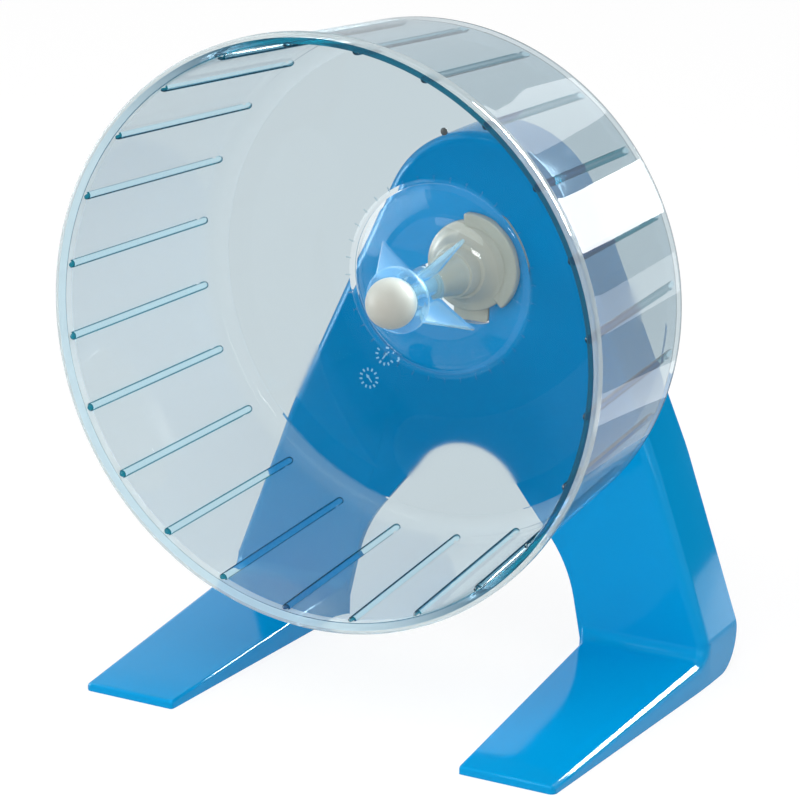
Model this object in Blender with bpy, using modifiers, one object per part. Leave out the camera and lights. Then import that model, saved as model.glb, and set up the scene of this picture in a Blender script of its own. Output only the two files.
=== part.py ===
"""A hamster wheel on a bent shell stand.

A clear drum with a closed back turns on a tapered spindle. The spindle is one moulding with a
domed flange, and it locks in the stand's mast with a twist: a key tab swings in an arc slot, and
two ears catch behind the wall. A ball knob on the spindle's pin keeps the drum from sliding off.

World axes: X across, Y from the drum's open front to the stand's back, Z up. The origin is on
the floor, under the middle of the whole. Every piece is modelled in the face frame, which is the
view from the front: x right, y up, z towards the viewer, with its origin on the axle's line in
the plane of the drum's front rim. A depth is a distance behind that plane, so it is minus z.
"""

import math

import bmesh
import bpy
from mathutils import Matrix

# Driving dimensions, in metres
drum_radius = 0.0900
drum_depth = 0.0815
axle_height = 0.1266
stand_face_depth = 0.1030
stand_back_depth = 0.1287

# Clearances between pieces
seat_gap = 0.0003
running_gap = 0.0002
press_gap = 0.0001

# The drum: rim, tapered wall, rounded back corner and flat back disc
clear_wall = 0.0016
rim_height = 0.0040
rim_overhang = 0.0018
rim_round = 0.0010
drum_back_radius = 0.0831
drum_corner_radius = 0.0068
drum_turn_steps = 72

# The running ribs inside the drum
rib_count = 24
rib_radius = 0.0013
rib_front_depth = 0.0016
rib_back_depth = 0.0745
rib_phase_degrees = 8.3
rib_tip_share = 0.4

# The hub: a dome in the back disc, a tube with a cup for the ball, and four webs
dome_seat_radius = 0.0288
dome_top_radius = 0.0202
dome_top_depth = 0.0706
dome_ring_width = 0.0022
dome_ring_height = 0.0009
hub_tube_radius = 0.0054
hub_back_depth = 0.0724
cup_radius = 0.0104
cup_lip_depth = 0.0504
cup_lip_width = 0.0012
cup_waist_depth = 0.0594
web_count = 4
web_thickness = 0.0012
web_tip_radius = 0.0200
web_phase_degrees = 54.0
gate_radius = 0.0013
gate_sink = 0.0006
gate_distance = 0.0471

# The ball knob
ball_radius = 0.0079
ball_depth = 0.0474
spigot_radius = 0.0013
spigot_back_depth = 0.0640

# The spindle: pin, shoulder, taper, collar, flange, and the core that goes through the stand
pin_radius = 0.0024
shoulder_radius = 0.0034
shoulder_width = 0.0011
taper_small_radius = 0.0040
taper_large_radius = 0.0069
collar_front_depth = 0.0873
collar_back_depth = 0.0927
collar_small_radius = 0.0075
collar_large_radius = 0.0082
flange_radius = 0.0147
flange_edge_width = 0.0030
flange_round = 0.0008
flange_neck_radius = 0.0100
flange_dome_radius = 0.0132
lobe_radius = 0.0171
lobe_start_degrees = -45.0
lobe_end_degrees = 97.0
lobe_thickness = 0.0036
core_radius = 0.0108
core_wall = 0.0022
core_hollow_depth = 0.0985
tab_width = 0.0120
tab_reach = 0.0184
tab_proud = 0.0005
tab_corner = 0.0015
ear_radius = 0.0149
ear_thickness = 0.0020
ear_half_degrees = 10.0
ear_centres_degrees = (90.0, -30.0)
ear_root_share = 0.85
axle_turn_steps = 48

# The twist lock in the stand's mast
tab_rest_degrees = -90.0
twist_degrees = 60.0
notch_extra_degrees = 2.0
lock_wall_radius = 0.0222
lock_wall_thickness = 0.0018
lock_wall_height = 0.0040

# The stand: one shell, bent forward at the floor into two wedge feet
stand_wall = 0.0024
mast_top_radius = 0.0333
mast_apex_rise = 0.0912
leg_knee = (0.0655, 0.0700)
leg_knee_radius = 0.0600
leg_ankle = (0.0858, 0.0141)
leg_ankle_radius = 0.0100
leg_outer_foot = 0.0860
arch_apex_height = 0.0853
arch_top_radius = 0.0205
arch_shoulder = (0.0178, 0.0566)
arch_shoulder_radius = 0.0040
arch_knee = (0.0372, 0.0322)
arch_knee_radius = 0.0450
arch_ankle = (0.0428, 0.0050)
arch_ankle_radius = 0.0080
leg_inner_foot = 0.0444
stand_edge_round = 0.0040
heel_radius = 0.0120
foot_front_depth = 0.0021
foot_front_inner = 0.0493
foot_front_outer = 0.0807
foot_back_outer = 0.0859
foot_front_height = 0.0026
foot_back_height = 0.0093
foot_heel_depth = 0.1230
foot_edge_round = 0.0012
pocket_front_depth = 0.0300
cut_margin = 0.0100

# Facets
arc_step_degrees = 7.5
corner_step_degrees = 15.0
cup_step_degrees = 9.0
gate_step_degrees = 30.0
ball_step_degrees = 10.0
knob_turn_steps = 36
stand_edge_segments = 4
foot_edge_segments = 2
flat_angle_degrees = 0.5
sharp_angle_degrees = 35.0
merge_distance = 0.00001

# Looks: linear colour and roughness
blue_colour = (0.0, 0.262, 0.604)
blue_roughness = 0.22
ivory_colour = (0.716, 0.672, 0.584)
ivory_roughness = 0.38
clear_colour = (0.82, 0.90, 0.93)
clear_roughness = 0.04

rim_world_y = -stand_back_depth / 2
mast_apex_height = axle_height + mast_apex_rise
drum_front_radius = drum_radius - rim_overhang
shell_depth = stand_back_depth - stand_face_depth
socket_radius = core_radius + running_gap
core_back_depth = stand_face_depth + stand_wall + seat_gap + ear_thickness
hub_bore_radius = pin_radius + running_gap
cup_hollow_radius = ball_radius + seat_gap
tab_sweep_radius = tab_corner + math.hypot(tab_width / 2 - tab_corner, tab_reach - tab_corner)


def clear_scene():
    """Removes every object, so that the file holds only this model."""
    for item in list(bpy.data.objects):
        bpy.data.objects.remove(item, do_unlink=True)


def make_collection(name):
    """Adds a collection to the scene."""
    group = bpy.data.collections.new(name)
    bpy.context.scene.collection.children.link(group)
    return group


def make_material(name, colour, roughness, transmission=0.0):
    """Makes a Principled material of one colour."""
    material = bpy.data.materials.new(name)
    material.use_nodes = True
    shader = material.node_tree.nodes["Principled BSDF"]
    shader.inputs["Base Color"].default_value = (*colour, 1.0)
    shader.inputs["Roughness"].default_value = roughness
    shader.inputs["Metallic"].default_value = 0.0
    shader.inputs["Transmission Weight"].default_value = transmission
    material.diffuse_color = (*colour, 1.0)
    return material


def add_object(name, data, group):
    """Adds an object in the face frame: its origin is on the axle in the rim's plane."""
    item = bpy.data.objects.new(name, data)
    item.rotation_euler = (math.pi / 2, 0.0, 0.0)
    item.location = (0.0, rim_world_y, axle_height)
    group.objects.link(item)
    return item


def hide_cutter(item):
    """Marks an object as a tool of the Booleans and no part of the model."""
    item.hide_render = True
    item.display_type = "WIRE"


def boolean(target, tool, operation):
    """Adds a Boolean modifier that joins, cuts or trims target with tool."""
    modifier = target.modifiers.new(f"{operation.lower()} {tool.name}", "BOOLEAN")
    modifier.operation = operation
    modifier.solver = "EXACT"
    modifier.object = tool


def smooth(item):
    """Shades an object's rounded faces smooth and keeps its corners sharp."""
    item.data.shade_smooth()
    item.data.set_sharp_from_angle(angle=math.radians(sharp_angle_degrees))


def polar(radius, degrees):
    """Gives the point at a radius and an angle, counted from +x towards +y."""
    angle = math.radians(degrees)
    return (radius * math.cos(angle), radius * math.sin(angle))


def arc(centre, radius, start_degrees, end_degrees, step_degrees=arc_step_degrees):
    """Gives the points of an arc, both ends among them."""
    count = max(1, round(abs(end_degrees - start_degrees) / step_degrees))
    points = []
    for index in range(count + 1):
        degrees = start_degrees + (end_degrees - start_degrees) * index / count
        x, y = polar(radius, degrees)
        points.append((centre[0] + x, centre[1] + y))
    return points


def round_corner(before, corner, after, radius):
    """Gives the arc that rounds one corner of an outline."""
    to_before = (before[0] - corner[0], before[1] - corner[1])
    to_after = (after[0] - corner[0], after[1] - corner[1])
    before_length = math.hypot(*to_before)
    after_length = math.hypot(*to_after)
    unit_before = (to_before[0] / before_length, to_before[1] / before_length)
    unit_after = (to_after[0] / after_length, to_after[1] / after_length)
    dot = unit_before[0] * unit_after[0] + unit_before[1] * unit_after[1]
    half_angle = math.acos(max(-1.0, min(1.0, dot))) / 2
    middle = (unit_before[0] + unit_after[0], unit_before[1] + unit_after[1])
    middle_length = math.hypot(*middle)
    reach = radius / math.sin(half_angle)
    centre = (
        corner[0] + middle[0] / middle_length * reach,
        corner[1] + middle[1] / middle_length * reach,
    )
    tangent = radius / math.tan(half_angle)
    first = (corner[0] + unit_before[0] * tangent, corner[1] + unit_before[1] * tangent)
    last = (corner[0] + unit_after[0] * tangent, corner[1] + unit_after[1] * tangent)
    start = math.degrees(math.atan2(first[1] - centre[1], first[0] - centre[0]))
    end = math.degrees(math.atan2(last[1] - centre[1], last[0] - centre[0]))
    turn = (end - start + 180.0) % 360.0 - 180.0
    return arc(centre, radius, start, start + turn)


def rounded_outline(corners):
    """Gives a closed outline from corners (x, y, radius), where radius 0 is a sharp corner."""
    points = []
    for index, (x, y, radius) in enumerate(corners):
        if radius == 0:
            points.append((x, y))
            continue
        before = corners[index - 1][:2]
        after = corners[(index + 1) % len(corners)][:2]
        points.extend(round_corner(before, (x, y), after, radius))
    return points


def mesh_of_curve(curve):
    """Turns curve data into a closed mesh and removes the curve."""
    holder = bpy.data.objects.new("curve holder", curve)
    bpy.context.scene.collection.objects.link(holder)
    graph = bpy.context.evaluated_depsgraph_get()
    mesh = bpy.data.meshes.new_from_object(holder.evaluated_get(graph))
    bpy.data.objects.remove(holder, do_unlink=True)
    bpy.data.curves.remove(curve)
    shape = bmesh.new()
    shape.from_mesh(mesh)
    bmesh.ops.remove_doubles(shape, verts=shape.verts, dist=merge_distance)
    flat = math.radians(flat_angle_degrees)
    bmesh.ops.dissolve_limit(shape, angle_limit=flat, verts=shape.verts, edges=shape.edges)
    bmesh.ops.recalc_face_normals(shape, faces=shape.faces)
    shape.to_mesh(mesh)
    shape.free()
    return mesh


def plate_mesh(outline, thickness):
    """Makes a flat plate: the outline in x and y, with its thickness centred on z = 0."""
    curve = bpy.data.curves.new("plate", "CURVE")
    curve.dimensions = "2D"
    curve.fill_mode = "BOTH"
    curve.extrude = thickness / 2
    spline = curve.splines.new("POLY")
    spline.points.add(len(outline) - 1)
    for point, (x, y) in zip(spline.points, outline):
        point.co = (x, y, 0.0, 1.0)
    spline.use_cyclic_u = True
    return mesh_of_curve(curve)


def plate_between(outline, front_depth, back_depth):
    """Makes a plate that reaches from one depth to another."""
    mesh = plate_mesh(outline, back_depth - front_depth)
    mesh.transform(Matrix.Translation((0.0, 0.0, -(front_depth + back_depth) / 2)))
    return mesh


def merge_meshes(name, meshes):
    """Puts several meshes into one and removes them."""
    shape = bmesh.new()
    for mesh in meshes:
        shape.from_mesh(mesh)
        bpy.data.meshes.remove(mesh)
    merged = bpy.data.meshes.new(name)
    shape.to_mesh(merged)
    shape.free()
    return merged


def turned(name, profile, group, steps, closed):
    """Turns a profile of (radius, depth) points about the axle's line."""
    mesh = bpy.data.meshes.new(name)
    points = [(radius, 0.0, -depth) for radius, depth in profile]
    edges = [(index, index + 1) for index in range(len(points) - 1)]
    if closed:
        edges.append((len(points) - 1, 0))
    mesh.from_pydata(points, edges, [])
    item = add_object(name, mesh, group)
    screw = item.modifiers.new("turn", "SCREW")
    screw.axis = "Z"
    screw.angle = 2 * math.pi
    screw.steps = steps
    screw.render_steps = steps
    screw.use_merge_vertices = True
    screw.merge_threshold = merge_distance
    screw.use_smooth_shade = True
    return item


def drum_profile():
    """Gives the section of the clear moulding, from the rim round to the rim again."""
    corner_depth = drum_depth - drum_corner_radius
    corner_centre = (drum_back_radius - drum_corner_radius, corner_depth)
    inner_corner = drum_corner_radius - clear_wall
    disc_front = drum_depth - clear_wall
    seat_back = dome_seat_radius + clear_wall
    dome_top_back = dome_top_depth + clear_wall
    dome_shoulder_radius = (dome_seat_radius + dome_top_radius) / 2
    dome_shoulder_depth = dome_top_depth + clear_wall
    outside = [
        (drum_radius - rim_round, 0.0),
        (drum_radius, rim_round),
        (drum_radius, rim_height - rim_round),
        (drum_front_radius, rim_height),
    ]
    outside += arc(corner_centre, drum_corner_radius, 0.0, 90.0, corner_step_degrees)
    dome_back = [
        (seat_back, drum_depth),
        (dome_shoulder_radius + clear_wall, dome_shoulder_depth + clear_wall),
        (dome_top_radius, dome_top_back),
        (hub_bore_radius, hub_back_depth),
    ]
    cup_floor = math.degrees(math.asin(hub_bore_radius / cup_hollow_radius))
    cup_edge = math.degrees(math.acos((cup_lip_depth - ball_depth) / cup_hollow_radius))
    cup_arc = arc((ball_depth, 0.0), cup_hollow_radius, cup_floor, cup_edge, cup_step_degrees)
    cup = [(radius, depth) for depth, radius in cup_arc]
    hub_front = [
        (cup_radius - cup_lip_width / 2, cup_lip_depth),
        (cup_radius, cup_lip_depth + cup_lip_width / 2),
        (cup_radius, cup_lip_depth + 2 * cup_lip_width),
        (hub_tube_radius, cup_waist_depth),
        (hub_tube_radius, dome_top_depth),
    ]
    dome_front = [
        (dome_top_radius, dome_top_depth),
        (dome_shoulder_radius, dome_shoulder_depth),
        (dome_seat_radius, disc_front - dome_ring_height),
        (dome_seat_radius + dome_ring_width, disc_front - dome_ring_height),
        (dome_seat_radius + dome_ring_width + dome_ring_height, disc_front),
    ]
    inside = arc(corner_centre, inner_corner, 90.0, 0.0, corner_step_degrees)
    inside += [(drum_front_radius - clear_wall, rim_height), (drum_front_radius - clear_wall, 0.0)]
    return outside + dome_back + cup + hub_front + dome_front + inside


def rib_mesh():
    """Makes the half-sunk round bars along the drum's wall."""
    wall_front = drum_front_radius - clear_wall
    wall_back = drum_back_radius - clear_wall
    corner_depth = drum_depth - drum_corner_radius
    curve = bpy.data.curves.new("ribs", "CURVE")
    curve.dimensions = "3D"
    curve.bevel_depth = rib_radius
    curve.bevel_resolution = 1
    curve.use_fill_caps = True
    tip = rib_radius
    stations = (
        (rib_front_depth, rib_tip_share),
        (rib_front_depth + tip, 1.0),
        (rib_back_depth - tip, 1.0),
        (rib_back_depth, rib_tip_share),
    )
    for index in range(rib_count):
        spline = curve.splines.new("POLY")
        spline.points.add(len(stations) - 1)
        degrees = rib_phase_degrees + 360.0 / rib_count * index
        for point, (depth, width_share) in zip(spline.points, stations):
            along = max(0.0, depth - rim_height) / (corner_depth - rim_height)
            x, y = polar(wall_front + (wall_back - wall_front) * along, degrees)
            point.co = (x, y, -depth, 1.0)
            point.radius = width_share
    return mesh_of_curve(curve)


def web_mesh():
    """Makes the four flat webs that stiffen the hub's tube against the dome."""
    sunk = clear_wall / 2
    outline = [
        (cup_radius - sunk, cup_lip_depth + cup_lip_width),
        (web_tip_radius, dome_top_depth),
        (web_tip_radius, dome_top_depth + sunk),
        (hub_tube_radius - sunk, dome_top_depth + sunk),
        (hub_tube_radius - sunk, cup_waist_depth),
    ]
    flat = [(radius, -depth) for radius, depth in outline]
    stand_up = Matrix.Rotation(math.pi / 2, 4, "X")
    webs = []
    for index in range(web_count):
        degrees = web_phase_degrees + 360.0 / web_count * index
        web = plate_mesh(flat, web_thickness)
        web.transform(Matrix.Rotation(math.radians(degrees), 4, "Z") @ stand_up)
        webs.append(web)
    return merge_meshes("webs", webs)


def build_drum(group, cutters):
    """Builds the clear moulding: drum, ribs, back disc, dome, hub and webs."""
    drum = turned("wheel_drum", drum_profile(), group, drum_turn_steps, closed=True)
    ribs = add_object("rib bars", rib_mesh(), cutters)
    webs = add_object("hub webs", web_mesh(), cutters)
    gate_depth = drum_depth - clear_wall
    gate_outline = arc(
        (0.0, gate_distance), gate_radius, 0.0, 360.0 - gate_step_degrees, gate_step_degrees
    )
    gate_mesh = plate_between(gate_outline, gate_depth - cut_margin, gate_depth + gate_sink)
    gate = add_object("gate dimple", gate_mesh, cutters)
    for tool, operation in ((ribs, "UNION"), (webs, "UNION"), (gate, "DIFFERENCE")):
        hide_cutter(tool)
        boolean(drum, tool, operation)
    return drum


def build_knob(group):
    """Builds the ball knob with the spigot that plugs into the spindle's pin."""
    join = math.degrees(math.asin(spigot_radius / ball_radius))
    ball_arc = arc((ball_depth, 0.0), ball_radius, 180.0, join, ball_step_degrees)
    ball = [(radius, depth) for depth, radius in ball_arc]
    ball[0] = (0.0, ball_depth - ball_radius)
    profile = ball + [(spigot_radius, spigot_back_depth), (0.0, spigot_back_depth)]
    return turned("retaining_knob", profile, group, knob_turn_steps, closed=False)


def axle_profile():
    """Gives the spindle's section, from the bore in its pin to the hollow in its core."""
    bore_radius = spigot_radius + press_gap
    bore_end = spigot_back_depth + seat_gap
    ball_back = ball_depth + math.sqrt(ball_radius**2 - pin_radius**2)
    pin_front = ball_back + seat_gap
    shoulder_front = hub_back_depth + seat_gap
    shoulder_back = shoulder_front + shoulder_width
    flange_back = stand_face_depth - seat_gap
    flange_front = flange_back - flange_edge_width
    neck_depth = (collar_back_depth + flange_front) / 2
    return [
        (0.0, bore_end),
        (bore_radius, bore_end),
        (bore_radius, pin_front),
        (pin_radius, pin_front),
        (pin_radius, shoulder_front),
        (shoulder_radius, shoulder_front),
        (shoulder_radius, shoulder_back),
        (taper_small_radius, shoulder_back),
        (taper_large_radius, collar_front_depth),
        (collar_small_radius, collar_front_depth),
        (collar_large_radius, collar_back_depth),
        (flange_neck_radius, neck_depth),
        (flange_dome_radius, flange_front - flange_round),
        (flange_radius, flange_front + flange_round),
        (flange_radius, flange_back),
        (core_radius, flange_back),
        (core_radius, core_back_depth),
        (core_radius - core_wall, core_back_depth),
        (core_radius - core_wall, core_hollow_depth),
        (0.0, core_hollow_depth),
    ]


def sector_outline(inner, outer, start_degrees, end_degrees):
    """Gives the outline of a ring sector."""
    outside = arc((0.0, 0.0), outer, start_degrees, end_degrees)
    inside = arc((0.0, 0.0), inner, end_degrees, start_degrees)
    return outside + inside


def build_axle(group, cutters):
    """Builds the spindle with its flange, grip lobe, key tab and the two ears of the lock."""
    axle = turned("axle_spindle", axle_profile(), group, axle_turn_steps, closed=False)
    flange_back = stand_face_depth - seat_gap
    hold_radius = (core_radius + flange_radius) / 2
    lobe_outline = sector_outline(hold_radius, lobe_radius, lobe_start_degrees, lobe_end_degrees)
    lobe_back = flange_back - press_gap
    lobe = plate_between(lobe_outline, lobe_back - lobe_thickness, lobe_back)
    root = core_radius * ear_root_share
    half_width = tab_width / 2
    tab_corners = [
        (-half_width, -root, 0),
        (-half_width, -tab_reach, tab_corner),
        (half_width, -tab_reach, tab_corner),
        (half_width, -root, 0),
    ]
    tab = plate_between(
        rounded_outline(tab_corners), stand_face_depth - tab_proud, stand_face_depth + stand_wall
    )
    ears = []
    for centre in ear_centres_degrees:
        outline = sector_outline(
            root, ear_radius, centre - ear_half_degrees, centre + ear_half_degrees
        )
        ears.append(plate_between(outline, core_back_depth - ear_thickness, core_back_depth))
    for name, meshes in (("grip lobe", [lobe]), ("key tab", [tab]), ("lock ears", ears)):
        tool = add_object(name, merge_meshes(name, meshes), cutters)
        hide_cutter(tool)
        boolean(axle, tool, "UNION")
    return axle


def mirror_corners(corners):
    """Gives the left half of a symmetric outline from its right half, in reverse order."""
    return [(-x, y, radius) for x, y, radius in reversed(corners)]


def outer_corners(inset, floor_drop):
    """Gives the shell's outer corners, from the right foot over the mast to the left foot."""
    floor = -axle_height
    lean = math.atan(leg_knee[0] / (mast_apex_height - leg_knee[1]))
    right = [
        (leg_outer_foot - inset, floor - floor_drop, 0),
        (leg_ankle[0] - inset, floor + leg_ankle[1], leg_ankle_radius - inset),
        (leg_knee[0] - inset / math.cos(lean), floor + leg_knee[1], leg_knee_radius),
    ]
    apex_height = floor + mast_apex_height - inset / math.sin(lean)
    return right + [(0.0, apex_height, mast_top_radius - inset)] + mirror_corners(right)


def shell_outline():
    """Gives the outline of the stand's face: mast, two legs and the arch between them."""
    floor = -axle_height
    arch = [
        (leg_inner_foot, floor, 0),
        (arch_ankle[0], floor + arch_ankle[1], arch_ankle_radius),
        (arch_knee[0], floor + arch_knee[1], arch_knee_radius),
        (arch_shoulder[0], floor + arch_shoulder[1], arch_shoulder_radius),
    ]
    arch_apex = (0.0, floor + arch_apex_height, arch_top_radius)
    left_arch = [(-x, y, radius) for x, y, radius in arch]
    return rounded_outline(outer_corners(0.0, 0.0) + left_arch + [arch_apex] + arch[::-1])


def shell_mesh():
    """Makes the solid shell block, with weight on the edges that get the big rounding."""
    mesh = plate_between(shell_outline(), stand_face_depth, stand_back_depth)
    arch_reach = leg_inner_foot + merge_distance
    arch_top = arch_apex_height - axle_height
    shape = bmesh.new()
    shape.from_mesh(mesh)
    weight = shape.edges.layers.float.new("bevel_weight_edge")
    for edge in shape.edges:
        ends = [vertex.co for vertex in edge.verts]
        on_face = all(abs(end.z + stand_face_depth) < merge_distance for end in ends)
        in_arch = all(abs(end.x) < arch_reach and end.y < arch_top for end in ends)
        on_floor = all(abs(end.y + axle_height) < merge_distance for end in ends)
        if on_face and not in_arch and not on_floor:
            edge[weight] = 1.0
    shape.to_mesh(mesh)
    shape.free()
    return mesh


def wedge_mesh(name, near, far):
    """Makes a six-sided block between two upright sections (inner, outer, low, high, depth)."""
    near_depth = near[-1]
    far_depth = far[-1]
    floor = near[2] + merge_distance
    shape = bmesh.new()
    bmesh.ops.create_cube(shape, size=far_depth - near_depth)
    for vertex in shape.verts:
        inner, outer, low, high, depth = near if vertex.co.z > 0 else far
        x = outer if vertex.co.x > 0 else inner
        y = high if vertex.co.y > 0 else low
        vertex.co = (x, y, -depth)
    weight = shape.edges.layers.float.new("bevel_weight_edge")
    for edge in shape.edges:
        heights = [vertex.co.y for vertex in edge.verts]
        depths = [-vertex.co.z for vertex in edge.verts]
        on_top = all(height > floor for height in heights)
        at_toe = all(abs(depth - near_depth) < merge_distance for depth in depths)
        upright = abs(heights[0] - heights[1]) > merge_distance
        at_heel = all(abs(depth - far_depth) < merge_distance for depth in depths)
        if (on_top and not at_heel) or (at_toe and upright):
            edge[weight] = 1.0
    mesh = bpy.data.meshes.new(name)
    shape.to_mesh(mesh)
    shape.free()
    return mesh


def foot_section(depth, inset, low, top_drop):
    """Gives a foot's upright section at a depth, from the foot's plan and slope."""
    share = (depth - foot_front_depth) / (stand_face_depth - foot_front_depth)
    inner = foot_front_inner + (leg_inner_foot - foot_front_inner) * share
    outer = foot_front_outer + (foot_back_outer - foot_front_outer) * min(1.0, share)
    height = foot_front_height + (foot_back_height - foot_front_height) * share
    return (inner + inset, outer - inset, low, height - top_drop - axle_height, depth)


def add_weight_bevel(item, width, segments):
    """Rounds the weighted edges of an object."""
    bevel = item.modifiers.new("round edges", "BEVEL")
    bevel.limit_method = "WEIGHT"
    bevel.width = width
    bevel.segments = segments
    bevel.use_clamp_overlap = True


def add_mirror(item):
    """Mirrors an object across the middle plane of the stand."""
    mirror = item.modifiers.new("other side", "MIRROR")
    mirror.use_axis = (True, False, False)
    mirror.use_mirror_merge = True
    mirror.merge_threshold = merge_distance


def lock_outline():
    """Gives the opening that the key tab swings in, joined with the round socket."""
    half = tab_width / 2 + seat_gap
    reach = tab_sweep_radius + seat_gap
    edge_degrees = math.degrees(math.asin(half / reach))
    inner = socket_radius / 2
    start = tab_rest_degrees + edge_degrees
    end = tab_rest_degrees - twist_degrees - edge_degrees
    inner_edge = math.degrees(math.asin(half / math.hypot(half, inner)))
    inner_reach = math.hypot(half, inner)
    first = polar(inner_reach, tab_rest_degrees + inner_edge)
    last = polar(inner_reach, tab_rest_degrees - twist_degrees - inner_edge)
    return [first] + arc((0.0, 0.0), reach, start, end) + [last]


def ring_profile(outer, inner, front_depth, back_depth):
    """Gives the section of a short tube."""
    return [(outer, front_depth), (outer, back_depth), (inner, back_depth), (inner, front_depth)]


def build_stand(group, cutters):
    """Builds the stand: a shell with skirts turned back, two wedge feet and the lock's socket."""
    stand = add_object("stand_shell", shell_mesh(), group)
    add_weight_bevel(stand, stand_edge_round, stand_edge_segments)
    floor = -axle_height

    foot = add_object(
        "foot block",
        wedge_mesh(
            "foot block",
            foot_section(foot_front_depth, 0.0, floor, 0.0),
            foot_section(foot_heel_depth, 0.0, floor, 0.0),
        ),
        cutters,
    )
    add_weight_bevel(foot, foot_edge_round, foot_edge_segments)
    add_mirror(foot)

    lock_front = stand_face_depth + stand_wall / 2
    lock_back = stand_face_depth + stand_wall + lock_wall_height
    lock_inner = lock_wall_radius - lock_wall_thickness
    lock_profile = ring_profile(lock_wall_radius, lock_inner, lock_front, lock_back)
    lock_wall = turned("lock wall", lock_profile, cutters, axle_turn_steps, closed=True)

    hollow = add_object(
        "shell hollow",
        plate_between(
            rounded_outline(outer_corners(stand_wall, cut_margin)),
            stand_face_depth + stand_wall,
            stand_back_depth + cut_margin,
        ),
        cutters,
    )

    pocket_back = stand_face_depth + stand_wall + seat_gap
    pocket = add_object(
        "foot pocket",
        wedge_mesh(
            "foot pocket",
            foot_section(pocket_front_depth, stand_wall, floor - cut_margin, stand_wall),
            foot_section(pocket_back, stand_wall, floor - cut_margin, stand_wall),
        ),
        cutters,
    )
    add_mirror(pocket)

    side_corners = [
        (-foot_front_depth + cut_margin, floor, 0),
        (-foot_front_depth + cut_margin, mast_apex_height - axle_height, 0),
        (-stand_back_depth, mast_apex_height - axle_height, 0),
        (-stand_back_depth, floor, heel_radius),
    ]
    side_mesh = plate_mesh(rounded_outline(side_corners), 2 * drum_radius + 2 * cut_margin)
    side_mesh.transform(Matrix.Rotation(-math.pi / 2, 4, "Y"))
    side = add_object("side outline", side_mesh, cutters)

    socket_outline = arc((0.0, 0.0), socket_radius, 0.0, 360.0 - arc_step_degrees)
    notch = ear_half_degrees + notch_extra_degrees
    notch_centre = ear_centres_degrees[0] - twist_degrees
    notch_outline = sector_outline(
        socket_radius / 2, ear_radius + seat_gap, notch_centre - notch, notch_centre + notch
    )
    openings = [
        ("lock socket", socket_outline),
        ("tab slot", lock_outline()),
        ("ear notch", notch_outline),
    ]
    steps = [
        (foot, "UNION"),
        (side, "INTERSECT"),
        (hollow, "DIFFERENCE"),
        (pocket, "DIFFERENCE"),
        (lock_wall, "UNION"),
    ]
    for name, outline in openings:
        mesh = plate_between(
            outline, stand_face_depth - cut_margin, stand_face_depth + stand_wall + cut_margin
        )
        steps.append((add_object(name, mesh, cutters), "DIFFERENCE"))
    for tool, operation in steps:
        hide_cutter(tool)
        boolean(stand, tool, operation)
    return stand


def main():
    """Builds the four mouldings and gives each its material."""
    clear_scene()
    model = make_collection("hamster_wheel")
    cutters = make_collection("cutters")
    blue = make_material("blue_plastic", blue_colour, blue_roughness)
    ivory = make_material("ivory_plastic", ivory_colour, ivory_roughness)
    clear = make_material("clear_plastic", clear_colour, clear_roughness, transmission=1.0)
    pieces = (
        (build_stand(model, cutters), blue),
        (build_axle(model, cutters), ivory),
        (build_drum(model, cutters), clear),
        (build_knob(model), ivory),
    )
    for piece, material in pieces:
        piece.data.materials.append(material)
        smooth(piece)


main()
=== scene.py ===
"""Scene of a clear running wheel for a small pet, on a bent blue stand.

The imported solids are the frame. Each of the four mouldings is made again here in a finer form,
takes the place of its solid and rides on that solid's body: the clear drum with its ribs, dome,
hub and webs, the ivory spindle, the ivory ball knob, and the blue stand.

Meshes are built in the face frame, which is the view from the front: x right, y up and z towards
the viewer, with its origin on the axle's line in the plane of the drum's rim. A depth is a
distance behind that plane. Each finished mesh is then placed in the world, where the studio
holds the camera, the lamps, the floor and a black card.
"""

import logging
import math
from dataclasses import dataclass
from enum import Enum
from functools import cached_property

import bmesh
import bpy
from mathutils import Matrix, Quaternion, Vector


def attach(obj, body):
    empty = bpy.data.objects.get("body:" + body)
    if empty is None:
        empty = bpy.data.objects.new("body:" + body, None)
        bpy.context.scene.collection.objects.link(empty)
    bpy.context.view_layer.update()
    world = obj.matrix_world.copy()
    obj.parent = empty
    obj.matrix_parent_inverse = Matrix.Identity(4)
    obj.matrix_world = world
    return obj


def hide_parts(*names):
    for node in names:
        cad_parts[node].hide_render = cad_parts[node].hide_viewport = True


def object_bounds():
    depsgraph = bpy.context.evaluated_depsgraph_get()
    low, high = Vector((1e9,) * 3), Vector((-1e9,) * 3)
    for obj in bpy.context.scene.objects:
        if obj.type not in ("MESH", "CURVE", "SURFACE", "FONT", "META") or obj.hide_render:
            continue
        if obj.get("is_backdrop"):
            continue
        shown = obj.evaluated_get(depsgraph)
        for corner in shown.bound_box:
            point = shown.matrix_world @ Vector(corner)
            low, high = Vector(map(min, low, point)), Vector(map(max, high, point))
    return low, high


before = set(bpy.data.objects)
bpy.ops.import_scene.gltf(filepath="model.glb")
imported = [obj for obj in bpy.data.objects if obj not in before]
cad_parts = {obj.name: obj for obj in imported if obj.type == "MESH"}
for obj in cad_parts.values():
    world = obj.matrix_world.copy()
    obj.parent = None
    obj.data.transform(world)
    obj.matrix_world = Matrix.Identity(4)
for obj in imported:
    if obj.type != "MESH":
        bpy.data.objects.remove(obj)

log = logging.getLogger("running_wheel")

Mesh = bpy.types.Mesh
Material = bpy.types.Material
Socket = bpy.types.NodeSocket
Point = tuple[float, float]
Triple = tuple[float, float, float]
Colour = Triple

# Points of a mesh that lie closer together than this, in metres, count as one.
MERGE = 0.000002
WHITE = (1.0, 1.0, 1.0, 1.0)


class Body(Enum):
    """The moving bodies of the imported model."""

    STAND = "stand"
    AXLE = "axle"
    WHEEL = "wheel"


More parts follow.
